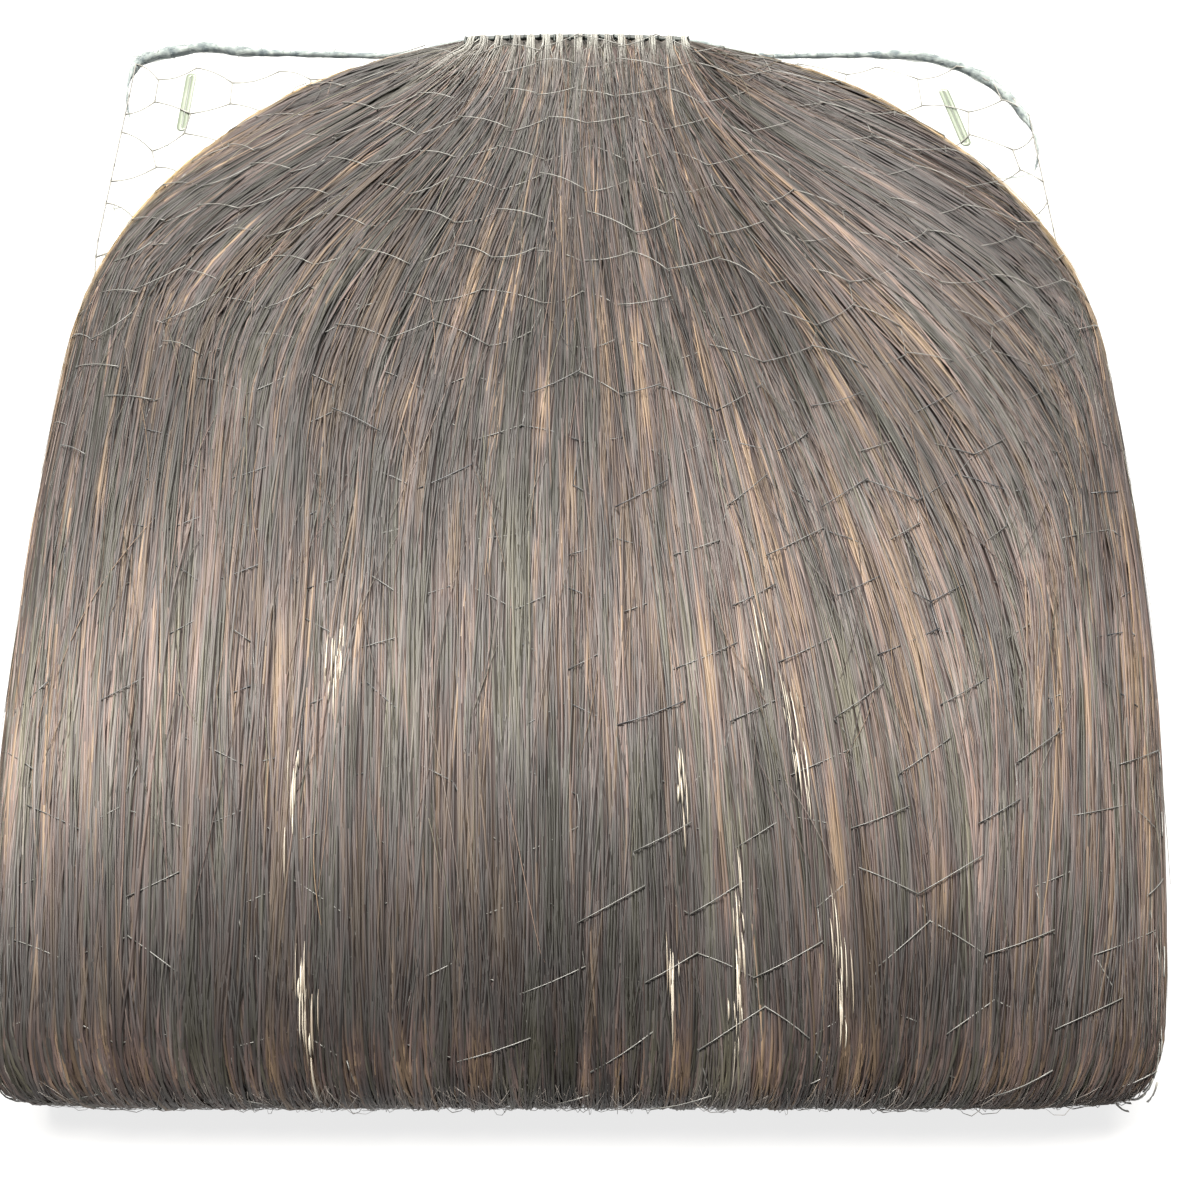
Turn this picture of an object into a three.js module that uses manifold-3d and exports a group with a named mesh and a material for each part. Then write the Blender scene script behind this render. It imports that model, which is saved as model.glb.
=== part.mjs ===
// Clip-in bangs on a clear card. The hair fans out from a sewn weft band, lies over the card,
// rolls round its lower edge and ends in loose tips behind it. The elastic rim of a net runs
// round the card's upper end.
// Millimetres, +Z up, lying on z = 0. Depth is the distance from the bend of the clips towards -Y.
import * as THREE from "three";
import { LoftGeometry } from "three/addons/geometries/LoftGeometry.js";
import { mergeVertices } from "three/addons/utils/BufferGeometryUtils.js";
import Module from "manifold-3d";

const wasm = await Module();
wasm.setup();

const GAP = 0.3;

// Card: its top edge and its lower end are given as depths
const CARD_HALF = 75;
const CARD_EDGE = 2.2;
const CARD_END = 164;
const CARD_THICK = 0.5;
const CARD_UNDER = 5.2;
const CARD_STRAIGHT = 45;
const CARD_FOOT_HALF = 61;
const CORNER_LEFT = 4;
const CORNER_RIGHT = 20;
const CORNER_FOOT = 12;
const SLIT_LENGTH = 13.5;
const SLIT_WIDTH = 1.8;
const SLITS = [
  { x: -66, depth: 12.5, tilt: 0 },
  { x: 63.4, depth: 16, tilt: 0.18 },
];
const CARD_TOP = CARD_UNDER + CARD_THICK;
const CARD_MIDDLE = CARD_UNDER + CARD_THICK / 2;

// Spring clips, bent from strip round the card's top edge
const CLIP_STRIP = 0.6;
const CLIP_WIDTH = 17;
const CLIP_OFFSET = 11;
const CLIP_FRONT_LEG = 12;
const CLIP_LEAF = 13;
const CLIP_LEAF_TOP = CARD_UNDER - GAP;
const CLIP_BOW = CLIP_LEAF_TOP - CLIP_STRIP;

// Weft band
const BAND_HALF = 19.7;
const BAND_BACK = -0.8;
const BAND_FRONT = 2.8;
const BAND_RISE = 1.8;
const BAND_END_RISE = 1.1;
const BAND_RIBS = 15;
const RIB_STEPS = 4;
const RIB_SINK = 0.45;
const BAND_SHOULDER = 0.7;
const BAND_UNDER = CARD_TOP + GAP + CLIP_STRIP + GAP;

// Hair outline seen from above
const HAIR_HALF_LEFT = 75.6;
const HAIR_HALF_RIGHT = 78.2;
const HAIR_TAPER_LEFT = 9;
const HAIR_TAPER_RIGHT = 12.6;
const HAIR_TAPER_POWER = 1.8;
const SHOULDER_DEPTH = 67;
const SHOULDER_REACH = 68;
const ROOT_DEPTH = BAND_FRONT + GAP;

// Hair thickness over the card, up to the crests of the locks
const CREST_DEPTH = 100;
const CREST = 13.5;
const CREST_ROOT_DROP = 10.5;
const CREST_ROOT_POWER = 2.2;
const CREST_ROLL_DROP = 4;
const CREST_ROLL_POWER = 2.2;
const EDGE_LIP = 1.3;
const EDGE_ROLL = 6;
const EDGE_GROW_DEPTH = 70;
const DOME_SHOULDER = 2.6;
const DOME_ROLL = 8;
const DOME_EDGE = 0.65;

// Hair behind the card
const BACK_CLEARANCE = 1.2;
const BACK_REACH = CARD_MIDDLE - BACK_CLEARANCE;
const BACK_LENGTH = 55;
const TIP_LENGTH = 76;
const TIP_SPREAD = 12;
const TIP_REACH = 2.6;
const BACK_DRAW = 0.42;
const ROLL_TRAVEL = 0.22;

// Locks
const LOCKS = 18;
const LOCK_LIFT = 1.6;
const LOCK_ROOT_LIFT = 0.6;
const LOCK_GROW_DEPTH = 45;
const LOCK_TAPER = 16;
const LOCK_TIP = 0.3;
const LOCK_VARIATION = 0.3;
const LOCK_SHIFT = 0.08;
const LOCK_FILL = 0.9;
const GOLDEN_ANGLE = 2.4;
const LOCK_SECTION = [
  { across: 1, rise: -0.7 },
  { across: 0.8, rise: 0.45 },
  { across: 0.3, rise: 1 },
  { across: -0.3, rise: 1 },
  { across: -0.8, rise: 0.45 },
  { across: -1, rise: -0.7 },
];

// How far the lanes of hair are gathered to the middle at each depth, on each side
const GATHER = [
  { depth: 0, left: 0, right: 0.2 },
  { depth: 12, left: 0.2, right: 0.45 },
  { depth: 24, left: 0.26, right: 0.52 },
  { depth: 46, left: 0.16, right: 0.45 },
  { depth: 70, left: 0.02, right: 0.26 },
  { depth: 100, left: 0, right: 0.08 },
  { depth: CARD_END, left: 0, right: 0 },
];
const GATHER_EDGE = 4;
const LANE_CROWDING = 0.25;

// Stations along the hair
const FRONT_STEPS = 11;
const FRONT_SPACING = 1.5;
const ROLL_STEPS = 6;
const BACK_STEPS = 4;
const INNER_COLUMNS = 6;

// Elastic rim of the net, by hand along its route
const RIM_RADIUS = 0.8;
const RIM_SIDES = 8;
const RIM_STEPS = 93;
const RIM_SLACK = 0.15;
const RIM_BEHIND = CARD_UNDER - GAP - RIM_RADIUS - RIM_SLACK;
const RIM_ROUTE = [
  { x: -75.3, depth: 2.3, z: CARD_MIDDLE },
  { x: -72.2, depth: 0.9, z: CARD_MIDDLE },
  { x: -64.7, depth: -0.9, z: CARD_MIDDLE },
  { x: -58, depth: 0.1, z: CARD_MIDDLE },
  { x: -42, depth: 0.9, z: CARD_MIDDLE },
  { x: -31, depth: 1.05, z: CARD_MIDDLE },
  { x: -26, depth: -0.2, z: CARD_MIDDLE },
  { x: -22, depth: -1.9, z: CARD_MIDDLE },
  { x: -17, depth: -2.3, z: CARD_MIDDLE },
  { x: 0, depth: -2.3, z: CARD_MIDDLE },
  { x: 17, depth: -2.3, z: CARD_MIDDLE },
  { x: 22, depth: -1.9, z: CARD_MIDDLE },
  { x: 26, depth: -0.2, z: CARD_MIDDLE },
  { x: 31, depth: 1.05, z: CARD_MIDDLE },
  { x: 45, depth: 1, z: CARD_MIDDLE },
  { x: 54, depth: 0.9, z: CARD_MIDDLE },
  { x: 60, depth: 1.5, z: CARD_MIDDLE },
  { x: 66, depth: 3.9, z: CARD_MIDDLE },
  { x: 70.6, depth: 7.6, z: CARD_MIDDLE },
  { x: 74, depth: 12.6, z: CARD_MIDDLE },
  { x: 75.9, depth: 18, z: CARD_MIDDLE },
  { x: 76.4, depth: 22.5, z: CARD_MIDDLE - 0.2 },
  { x: 75.4, depth: 26.5, z: RIM_BEHIND },
  { x: 69, depth: 28, z: RIM_BEHIND },
  { x: 36, depth: 27, z: RIM_BEHIND },
  { x: 0, depth: 26, z: RIM_BEHIND },
  { x: -36, depth: 25, z: RIM_BEHIND },
  { x: -68, depth: 21, z: RIM_BEHIND },
  { x: -75.4, depth: 15, z: RIM_BEHIND },
  { x: -76.5, depth: 10.5, z: CARD_MIDDLE - 0.2 },
  { x: -76.5, depth: 6, z: CARD_MIDDLE },
];

function material(color, roughness, metalness = 0) {
  return new THREE.MeshStandardMaterial({ color, roughness, metalness });
}

function lerp(from, to, share) {
  return THREE.MathUtils.lerp(from, to, share);
}

// A closed geometry as a solid that can be joined
function toSolid(geometry) {
  geometry.deleteAttribute("normal");
  geometry.deleteAttribute("uv");
  const merged = mergeVertices(geometry);
  return new wasm.Manifold(new wasm.Mesh({
    numProp: 3,
    vertProperties: merged.attributes.position.array,
    triVerts: Uint32Array.from(merged.index.array),
  }));
}

function toGeometry(solid) {
  const mesh = solid.getMesh();
  const geometry = new THREE.BufferGeometry();
  geometry.setAttribute("position", new THREE.BufferAttribute(mesh.vertProperties, 3));
  geometry.setIndex(new THREE.BufferAttribute(mesh.triVerts, 1));
  geometry.computeVertexNormals();
  return geometry;
}

function loft(sections, capped) {
  const skin = new LoftGeometry(sections, { capStart: capped, capEnd: capped });
  return new THREE.BufferGeometry().copy(skin);
}

// Clear card
function slitPath({ x, depth, tilt }) {
  const straight = SLIT_LENGTH / 2 - SLIT_WIDTH / 2;
  const axis = new THREE.Vector2(Math.sin(tilt), -Math.cos(tilt));
  const near = new THREE.Vector2(x, -depth).addScaledVector(axis, -straight);
  const far = new THREE.Vector2(x, -depth).addScaledVector(axis, straight);
  const path = new THREE.Path();
  path.absarc(near.x, near.y, SLIT_WIDTH / 2, tilt, tilt + Math.PI, false);
  path.absarc(far.x, far.y, SLIT_WIDTH / 2, tilt + Math.PI, tilt + 2 * Math.PI, false);
  path.closePath();
  return path;
}

function cardGeometry() {
  const shape = new THREE.Shape();
  const foot = -CARD_END + CORNER_FOOT;
  shape.moveTo(-CARD_HALF, -CARD_STRAIGHT);
  shape.lineTo(-CARD_FOOT_HALF, foot);
  shape.quadraticCurveTo(-CARD_FOOT_HALF, -CARD_END, -CARD_FOOT_HALF + CORNER_FOOT, -CARD_END);
  shape.lineTo(CARD_FOOT_HALF - CORNER_FOOT, -CARD_END);
  shape.quadraticCurveTo(CARD_FOOT_HALF, -CARD_END, CARD_FOOT_HALF, foot);
  shape.lineTo(CARD_HALF, -CARD_STRAIGHT);
  shape.absarc(CARD_HALF - CORNER_RIGHT, -CARD_EDGE - CORNER_RIGHT, CORNER_RIGHT, 0, Math.PI / 2, false);
  shape.absarc(-CARD_HALF + CORNER_LEFT, -CARD_EDGE - CORNER_LEFT, CORNER_LEFT, Math.PI / 2, Math.PI, false);
  shape.closePath();
  shape.holes = SLITS.map(slitPath);
  const options = { depth: CARD_THICK, bevelEnabled: false, curveSegments: 6 };
  return new THREE.ExtrudeGeometry(shape, options).translate(0, 0, CARD_UNDER);
}

// Spring clip: a leg over the card, a bend past its top edge and a bowed leaf behind it
function clipGeometry() {
  const legUnder = CARD_TOP + GAP;
  const legTop = legUnder + CLIP_STRIP;
  const leafUnder = CLIP_LEAF_TOP - CLIP_STRIP;
  const bendInside = GAP;
  const bendOutside = GAP + CLIP_STRIP;
  const profile = new THREE.Shape();
  profile.moveTo(-CLIP_FRONT_LEG, legUnder);
  profile.lineTo(bendInside, legUnder);
  profile.lineTo(bendInside, CLIP_LEAF_TOP);
  profile.quadraticCurveTo(
    (bendInside - CLIP_LEAF) / 2, CLIP_LEAF_TOP - 2 * CLIP_BOW, -CLIP_LEAF, CLIP_LEAF_TOP);
  profile.lineTo(-CLIP_LEAF, leafUnder);
  profile.quadraticCurveTo(
    (bendOutside - CLIP_LEAF) / 2, leafUnder - 2 * CLIP_BOW, bendOutside, leafUnder);
  profile.lineTo(bendOutside, legTop);
  profile.lineTo(-CLIP_FRONT_LEG, legTop);
  profile.closePath();
  const options = { depth: CLIP_WIDTH, bevelEnabled: false, curveSegments: 12 };
  const toYZ = new THREE.Matrix4().makeBasis(
    new THREE.Vector3(0, 1, 0), new THREE.Vector3(0, 0, 1), new THREE.Vector3(1, 0, 0));
  return new THREE.ExtrudeGeometry(profile, options).applyMatrix4(toYZ).translate(-CLIP_WIDTH / 2, 0, 0);
}

// Weft band: a low ribbed roll, each rib a sewn bundle of hair
function bandSection(step) {
  const share = step / (BAND_RIBS * RIB_STEPS);
  const x = lerp(-BAND_HALF, BAND_HALF, share);
  const inRib = (step % RIB_STEPS) / RIB_STEPS;
  const rib = RIB_SINK * (1 - Math.sin(Math.PI * inRib));
  const arch = 1 - (2 * share - 1) ** 2;
  const rise = lerp(BAND_END_RISE, BAND_RISE, arch) - rib;
  const back = -BAND_BACK - rib;
  const front = -BAND_FRONT;
  return [
    new THREE.Vector3(x, front, BAND_UNDER),
    new THREE.Vector3(x, back, BAND_UNDER),
    new THREE.Vector3(x, back, BAND_UNDER + rise * (1 - BAND_SHOULDER)),
    new THREE.Vector3(x, back - rise * (1 - BAND_SHOULDER), BAND_UNDER + rise * BAND_SHOULDER),
    new THREE.Vector3(x, back - rise, BAND_UNDER + rise),
    new THREE.Vector3(x, front, BAND_UNDER + rise),
  ];
}

function bandGeometry() {
  const sections = [];
  for (let step = 0; step <= BAND_RIBS * RIB_STEPS; step += 1) {
    sections.push(bandSection(step));
  }
  return loft(sections, true);
}

// Hair: half width of the outline at a depth, on one side
function halfWidth(depth, side) {
  const full = side < 0 ? HAIR_HALF_LEFT : HAIR_HALF_RIGHT;
  if (depth < SHOULDER_DEPTH) {
    const rise = (SHOULDER_DEPTH - depth) / SHOULDER_REACH;
    return full * Math.sqrt(1 - rise * rise);
  }
  const taper = side < 0 ? HAIR_TAPER_LEFT : HAIR_TAPER_RIGHT;
  const run = (depth - SHOULDER_DEPTH) / (CARD_END - SHOULDER_DEPTH);
  return full - taper * run ** HAIR_TAPER_POWER;
}

function gatherAt(depth, side) {
  const next = GATHER.findIndex((row) => row.depth >= depth && row.depth > 0);
  const from = GATHER[next - 1];
  const to = GATHER[next];
  const share = (depth - from.depth) / (to.depth - from.depth);
  return side < 0 ? lerp(from.left, to.left, share) : lerp(from.right, to.right, share);
}

// Hair lies in lanes from -1 at the left edge to 1 at the right edge, closer together at the edges
function laneShare(lane, depth) {
  const share = Math.abs(lane) * (1 + LANE_CROWDING * (1 - lane * lane));
  return share * (1 - gatherAt(depth, lane) * (1 - share ** GATHER_EDGE));
}

function crestAt(depth) {
  if (depth < CREST_DEPTH) {
    return CREST - CREST_ROOT_DROP * (1 - depth / CREST_DEPTH) ** CREST_ROOT_POWER;
  }
  const toRoll = (depth - CREST_DEPTH) / (CARD_END - CREST_DEPTH);
  return CREST - CREST_ROLL_DROP * toRoll ** CREST_ROLL_POWER;
}

function lockLiftAt(depth) {
  return lerp(LOCK_ROOT_LIFT, LOCK_LIFT, THREE.MathUtils.smoothstep(depth, 0, LOCK_GROW_DEPTH));
}

// Distance of the hair's inside from the card's middle plane, clear of the clips' front legs
function innerReach(depth) {
  const overClips = 1 - THREE.MathUtils.smoothstep(depth, CLIP_FRONT_LEG + GAP, 2 * CLIP_FRONT_LEG);
  return CARD_THICK / 2 + GAP + overClips * (CLIP_STRIP + GAP);
}

function edgeLipAt(depth) {
  return lerp(EDGE_LIP, EDGE_ROLL, THREE.MathUtils.smoothstep(depth, EDGE_GROW_DEPTH, CARD_END));
}

function frontReach(lane, depth) {
  const share = laneShare(lane, depth);
  const power = lerp(DOME_SHOULDER, DOME_ROLL, depth / CARD_END);
  const dome = Math.max(0, 1 - share ** power) ** DOME_EDGE;
  const body = crestAt(depth) - lockLiftAt(depth) - (innerReach(depth) - innerReach(CARD_END));
  return innerReach(depth) + lerp(edgeLipAt(depth), body, dome);
}

function backReach(back) {
  return lerp(BACK_REACH, TIP_REACH, (back / (TIP_LENGTH + TIP_SPREAD)) ** 2);
}

// A station is a place along the hair: depth on the front, turn round the roll, distance up the back
function frontStation(share) {
  return { depth: lerp(ROOT_DEPTH, CARD_END, share ** FRONT_SPACING), turn: 0, back: 0 };
}

function stationsTo(backLength) {
  const stations = [];
  for (let step = 0; step <= FRONT_STEPS; step += 1) {
    stations.push(frontStation(step / FRONT_STEPS));
  }
  for (let step = 1; step <= ROLL_STEPS; step += 1) {
    stations.push({ depth: CARD_END, turn: Math.PI * step / ROLL_STEPS, back: 0 });
  }
  for (let step = 1; step <= BACK_STEPS; step += 1) {
    stations.push({ depth: CARD_END, turn: Math.PI, back: backLength * step / BACK_STEPS });
  }
  return stations;
}

function travelAt({ turn, back }) {
  return ROLL_TRAVEL * turn / Math.PI + (1 - ROLL_TRAVEL) * back / (TIP_LENGTH + TIP_SPREAD);
}

function placeAt(lane, station, reach) {
  const { depth, turn, back } = station;
  const outward = Math.sign(lane) * halfWidth(depth, lane) * laneShare(lane, depth);
  const x = outward * (1 - BACK_DRAW * travelAt(station));
  const y = back - depth - reach * Math.sin(turn);
  const z = CARD_MIDDLE + reach * Math.cos(turn);
  return new THREE.Vector3(x, y, Math.max(0, z));
}

function outerReach(lane, { depth, turn, back }) {
  return lerp(frontReach(lane, depth), backReach(back), turn / Math.PI);
}

// Backing: the mass of hair under the locks, wrapped round the card
function backingSolid() {
  const sections = stationsTo(BACK_LENGTH).map((station) => {
    const outside = [];
    for (let column = 0; column <= LOCKS; column += 1) {
      const lane = 1 - 2 * column / LOCKS;
      outside.push(placeAt(lane, station, outerReach(lane, station)));
    }
    const inside = [];
    for (let column = 0; column <= INNER_COLUMNS; column += 1) {
      const lane = -1 + 2 * column / INNER_COLUMNS;
      inside.push(placeAt(lane, station, innerReach(station.depth)));
    }
    return outside.concat(inside);
  });
  return toSolid(loft(sections, true));
}

// One lock: a rounded strip along its lane, sunk into the backing, with a tapered tip
function lockSolid(index) {
  const wave = Math.sin(GOLDEN_ANGLE * index);
  const centre = -1 + (2 * index + 1) / LOCKS;
  const stations = stationsTo(TIP_LENGTH + TIP_SPREAD * wave);
  const sections = stations.map((station, row) => {
    const along = row / (stations.length - 1);
    const taper = lerp(1, LOCK_TIP, along ** LOCK_TAPER);
    const lift = lockLiftAt(station.depth) * (1 + LOCK_VARIATION * wave) * taper;
    const shift = LOCK_SHIFT * Math.sin(GOLDEN_ANGLE * index + Math.PI * along) / LOCKS;
    return LOCK_SECTION.map(({ across, rise }) => {
      const lane = centre + shift * (1 - centre ** 2) + across * taper * LOCK_FILL / LOCKS;
      const held = THREE.MathUtils.clamp(lane, -1, 1);
      return placeAt(held, station, outerReach(held, station) + lift * rise);
    });
  });
  return toSolid(loft(sections, true));
}

function hairGeometry() {
  let body = backingSolid();
  for (let index = 0; index < LOCKS; index += 1) {
    body = body.add(lockSolid(index));
  }
  return toGeometry(body);
}

// Elastic rim: a closed tube round the card's upper end
function rimGeometry() {
  const route = RIM_ROUTE.map(({ x, depth, z }) => new THREE.Vector3(x, -depth, z));
  const curve = new THREE.CatmullRomCurve3(route, true);
  const up = new THREE.Vector3(0, 0, 1);
  const sections = [];
  for (let step = 0; step <= RIM_STEPS; step += 1) {
    const along = (step % RIM_STEPS) / RIM_STEPS;
    const middle = curve.getPoint(along);
    const side = new THREE.Vector3().crossVectors(curve.getTangent(along), up).normalize();
    const top = new THREE.Vector3().crossVectors(side, curve.getTangent(along));
    const ring = [];
    for (let corner = 0; corner < RIM_SIDES; corner += 1) {
      const angle = 2 * Math.PI * corner / RIM_SIDES;
      const point = middle.clone().addScaledVector(side, RIM_RADIUS * Math.cos(angle));
      ring.push(point.addScaledVector(top, -RIM_RADIUS * Math.sin(angle)));
    }
    sections.push(ring);
  }
  return loft(sections, false);
}

const layout = new THREE.Group();

function addPart(name, geometry, look, x = 0) {
  const mesh = new THREE.Mesh(geometry, look);
  mesh.name = name;
  mesh.position.x = x;
  layout.add(mesh);
}

addPart("card", cardGeometry(), material(0xeef2f0, 0.08));
addPart("hair", hairGeometry(), material(0x5a4d46, 0.5));
addPart("weft_band", bandGeometry(), material(0x6b5d55, 0.6));
addPart("clip_left", clipGeometry(), material(0x2a2624, 0.35, 1), -CLIP_OFFSET);
addPart("clip_right", clipGeometry(), material(0x2a2624, 0.35, 1), CLIP_OFFSET);
addPart("net_rim", rimGeometry(), material(0x5b6068, 0.9));

// The origin is at the bottom centre of the whole
const footprint = new THREE.Box3().setFromObject(layout).getCenter(new THREE.Vector3());
layout.position.set(-footprint.x, -footprint.y, 0);

const bangs = new THREE.Group();
bangs.name = "clip_in_bangs";
bangs.add(layout);

export default bangs;
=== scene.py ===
"""Clip-in bangs on a clear card: the hair strand by strand, its sewn weft, the net and its elastic.

Lengths are in millimetres until a mesh is made. Depth is the distance towards -Y from the bend of the
clips, just beyond the card's top edge. Along is the way a strand goes: down the front, round the roll
and up the back. A lane is a strand's place across the hair, from -1 at the left edge to 1 at the right.
"""
import math

import bpy
import numpy as np
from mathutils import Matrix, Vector


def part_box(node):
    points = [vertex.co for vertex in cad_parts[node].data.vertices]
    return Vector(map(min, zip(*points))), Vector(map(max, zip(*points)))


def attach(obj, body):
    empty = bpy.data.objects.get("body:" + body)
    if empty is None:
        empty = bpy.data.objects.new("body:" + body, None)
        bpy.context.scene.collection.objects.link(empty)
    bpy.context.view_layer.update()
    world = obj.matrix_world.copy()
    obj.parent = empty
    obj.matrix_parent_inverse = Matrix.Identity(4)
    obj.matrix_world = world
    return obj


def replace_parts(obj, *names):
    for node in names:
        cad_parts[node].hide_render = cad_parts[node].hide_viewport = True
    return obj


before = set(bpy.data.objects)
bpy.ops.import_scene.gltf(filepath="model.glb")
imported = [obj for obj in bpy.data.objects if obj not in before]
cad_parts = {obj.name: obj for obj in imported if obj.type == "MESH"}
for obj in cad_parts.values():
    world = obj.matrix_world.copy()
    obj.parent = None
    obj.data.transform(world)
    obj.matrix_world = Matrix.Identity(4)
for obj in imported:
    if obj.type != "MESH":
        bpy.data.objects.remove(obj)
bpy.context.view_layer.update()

MM = 0.001
rng = np.random.default_rng(11)

# Card, as packed. The bend of the clips is past its top edge
card_low, card_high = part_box("card")
MIDDLE_X = (card_low.x + card_high.x) / 2 / MM
CARD_EDGE = 2.2
TOP_Y = card_high.y / MM + CARD_EDGE
CARD_END = TOP_Y - card_low.y / MM
CARD_HALF = (card_high.x - card_low.x) / 2 / MM
CARD_UNDER = card_low.z / MM
CARD_TOP = card_high.z / MM
CARD_MIDDLE = (CARD_UNDER + CARD_TOP) / 2
SLIT_LENGTH = 13.5
SLIT_WIDTH = 1.8
SLITS = [(-66, 12.5, 0.0), (63.4, 16, 0.18)]

# Weft band
BAND_HALF = 19.7
BAND_BACK = -0.95
BAND_UNDER = 6.9
BAND_RIBS = 15
RIB_PITCH = 2 * BAND_HALF / BAND_RIBS
CROWN_RISE = 2.15
CROWN_END_RISE = 1.45
CROWN_DEPTH = 1.0
CROWN_REACH = CROWN_DEPTH - BAND_BACK

# Hair form, the same as the solid's
HALF_LEFT = 75.6
HALF_RIGHT = 78.2
TAPER_LEFT = 9
TAPER_RIGHT = 12.6
TAPER_POWER = 1.8
SHOULDER_DEPTH = 67
SHOULDER_REACH = 68
ROOT_DEPTH = 3.1
CREST_DEPTH = 100
CREST = 13.5
CREST_ROOT_DROP = 10.5
CREST_ROLL_DROP = 4
EDGE_LIP = 1.3
EDGE_ROLL = 6
EDGE_GROW_DEPTH = 70
DOME_SHOULDER = 2.6
DOME_ROLL = 8
DOME_EDGE = 0.65
INNER_REACH = 0.55
OVER_CLIPS = 0.9
CLIP_LEG = 12.3
BACK_REACH = 4.25
TIP_REACH = 2.6
BACK_RUN = 88
BACK_DRAW = 0.42
ROLL_TRAVEL = 0.22
LOCKS = 18
LOCK_LIFT = 1.6
LOCK_ROOT_LIFT = 0.6
LOCK_GROW_DEPTH = 45
LOCK_SHARE = 0.62
BACK_LIFT = 0.4
CREST_POWER = 2.2
ROOT_INSET = 0.6
BUNDLE_DRAW = 0.3
BUNDLE_LOOSENS = (1.5, 9)
CROWN_BLEND = 7

# A strand runs down from the weft, then swings out to its own lane. Each row of a fan is a lane from the
# middle to the edge, with the depths where its swing starts and ends
HOLD_HALF = 19.3
HOLD_POWER = 1.3
FAN_LEFT = [
    (0, 0, 110), (0.3, -5, 100), (0.6, -10, 82), (0.8, -18, 66),
    (0.92, -22, 58), (0.98, -25, 45), (1, -40, -5),
]
FAN_RIGHT = [
    (0, 0, 190), (0.3, 0, 190), (0.5, 0, 175), (0.7, 0, 140),
    (0.8, 0, 112), (0.92, -8, 86), (0.98, -20, 58), (1, -40, -5),
]
LANE_STEP = 0.004
ALONG_STEP = 0.5

# Along a strand. Around the roll the steps of a strand are shorter
ROLL_ARC = 28
ROLL_END = CARD_END + ROLL_ARC
TIP_END = ROLL_END + BACK_RUN
ALONG_MARKS = [BAND_BACK, CARD_END - 8, ROLL_END, TIP_END]
PACE_MARKS = [0, 155, 250, 320]

# Strands
STRAND_PIECES = 4
STRANDS_A_PIECE = 2640
STRAND_STEPS = 12
STRAND_RADIUS = (0.07, 0.2)
STRAND_HALF_RUN = (30, 52)
STRAND_LAYER = (-0.3, 0.26)
STRAND_TUCK = 0.9
STRAND_SWAY = 0.5
STRAND_DRIFT = (3.4, 2.0)
STRAND_FLOOR = 0.14
STRAND_FLAT = 0.48
STRAND_EDGE = 0.996
STRAND_LOOSE = (50, 130)
STRAND_WAVE = (10, 36)
STRAND_WAVE_TURNS = 40
STRAND_TUCK_RUN = 0.14
STRAND_TIP = 0.45
STRAND_GLOW = (0.3, 1)
NARROWEST_LANE = 20
SEED_TRIES = 8
LOCK_RELIEF = 0.2
ROLL_CALM = 0.4

# Clumps of strands. A wander has its size in clumps, its length along the hair and its turn across it
FINE_CLUMPS = 37
FINE_PULL = 0.7
FINE_LIFT = 0.14
FINE_WANDER = [(0.5, 29, 11), (0.3, 11, 27)]
BROAD_CLUMPS = 11
BROAD_PULL = 0.36
BROAD_LIFT = 0.2
BROAD_WANDER = [(0.35, 41, 6), (0.2, 17, 15)]
LOCKS_SHOW = (10, 60)
ROLL_CALM_START = 110

# Thin edge of the shoulders, where light comes through and is painted on as gold: distances from it and
# depths along it
GLOW_EDGE = (0.4, 2.2)
GLOW_COMES = (3, 10)
GLOW_GOES = (30, 90)


def mix(start, end, share):
    return start + (end - start) * share


def ease(value, low, high):
    share = np.clip((value - low) / (high - low), 0, 1)
    return share * share * (3 - 2 * share)


def shares(count):
    """A row of even steps from 0 to 1."""
    return np.linspace(0, 1, count)[None, :]


def even(limits, count):
    """A column of even draws between limits."""
    return rng.uniform(*limits, count)[:, None]


def bell(size, count):
    """A column of draws about nought."""
    return rng.normal(0, size, count)[:, None]


def to_frame(points):
    """Points from the card's own place into the model's frame, in metres."""
    return (points + np.array([MIDDLE_X, TOP_Y, 0])) * MM


# The hair's form
def outline_half(depth, lane):
    """Half width of the hair's outline."""
    full = np.where(lane < 0, HALF_LEFT, HALF_RIGHT)
    taper = np.where(lane < 0, TAPER_LEFT, TAPER_RIGHT)
    rise = (SHOULDER_DEPTH - np.clip(depth, ROOT_DEPTH, SHOULDER_DEPTH)) / SHOULDER_REACH
    run = np.clip(depth - SHOULDER_DEPTH, 0, None) / (CARD_END - SHOULDER_DEPTH)
    half = full * np.sqrt(1 - rise**2) - taper * run**TAPER_POWER
    root = np.clip((ROOT_DEPTH - depth) / (ROOT_DEPTH - BAND_BACK), 0, 1)
    return mix(half, BAND_HALF - ROOT_INSET, root)


def swing(lane, depth):
    """How far a lane has swung out at a depth, from 0 to 1."""
    share = np.abs(lane)
    sides = []
    for fan in (FAN_LEFT, FAN_RIGHT):
        lanes, start, end = np.array(fan, float).T
        sides.append(ease(depth, np.interp(share, lanes, start), np.interp(share, lanes, end)))
    return np.where(lane < 0, *sides)


def lane_share(lane, depth):
    """Where a lane lies at a depth, from 0 in the middle to 1 at the outline."""
    share = np.abs(lane)
    held = HOLD_HALF * (1 - np.clip(1 - share, 0, 1) ** HOLD_POWER) / outline_half(depth, lane)
    return mix(held, share, swing(lane, depth))


def lane_width(lane, depth):
    """Width of a lane at a depth: how far it goes to the right for each whole lane."""
    right, left = (lane_place(lane + step, depth, 0, 0) for step in (LANE_STEP, -LANE_STEP))
    return (right - left) / (2 * LANE_STEP)


def inner_reach(depth):
    """Distance of the hair's inner side from the middle of the card. It is larger over the clips."""
    return INNER_REACH + OVER_CLIPS * (1 - ease(depth, CLIP_LEG, 2 * CLIP_LEG))


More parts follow.
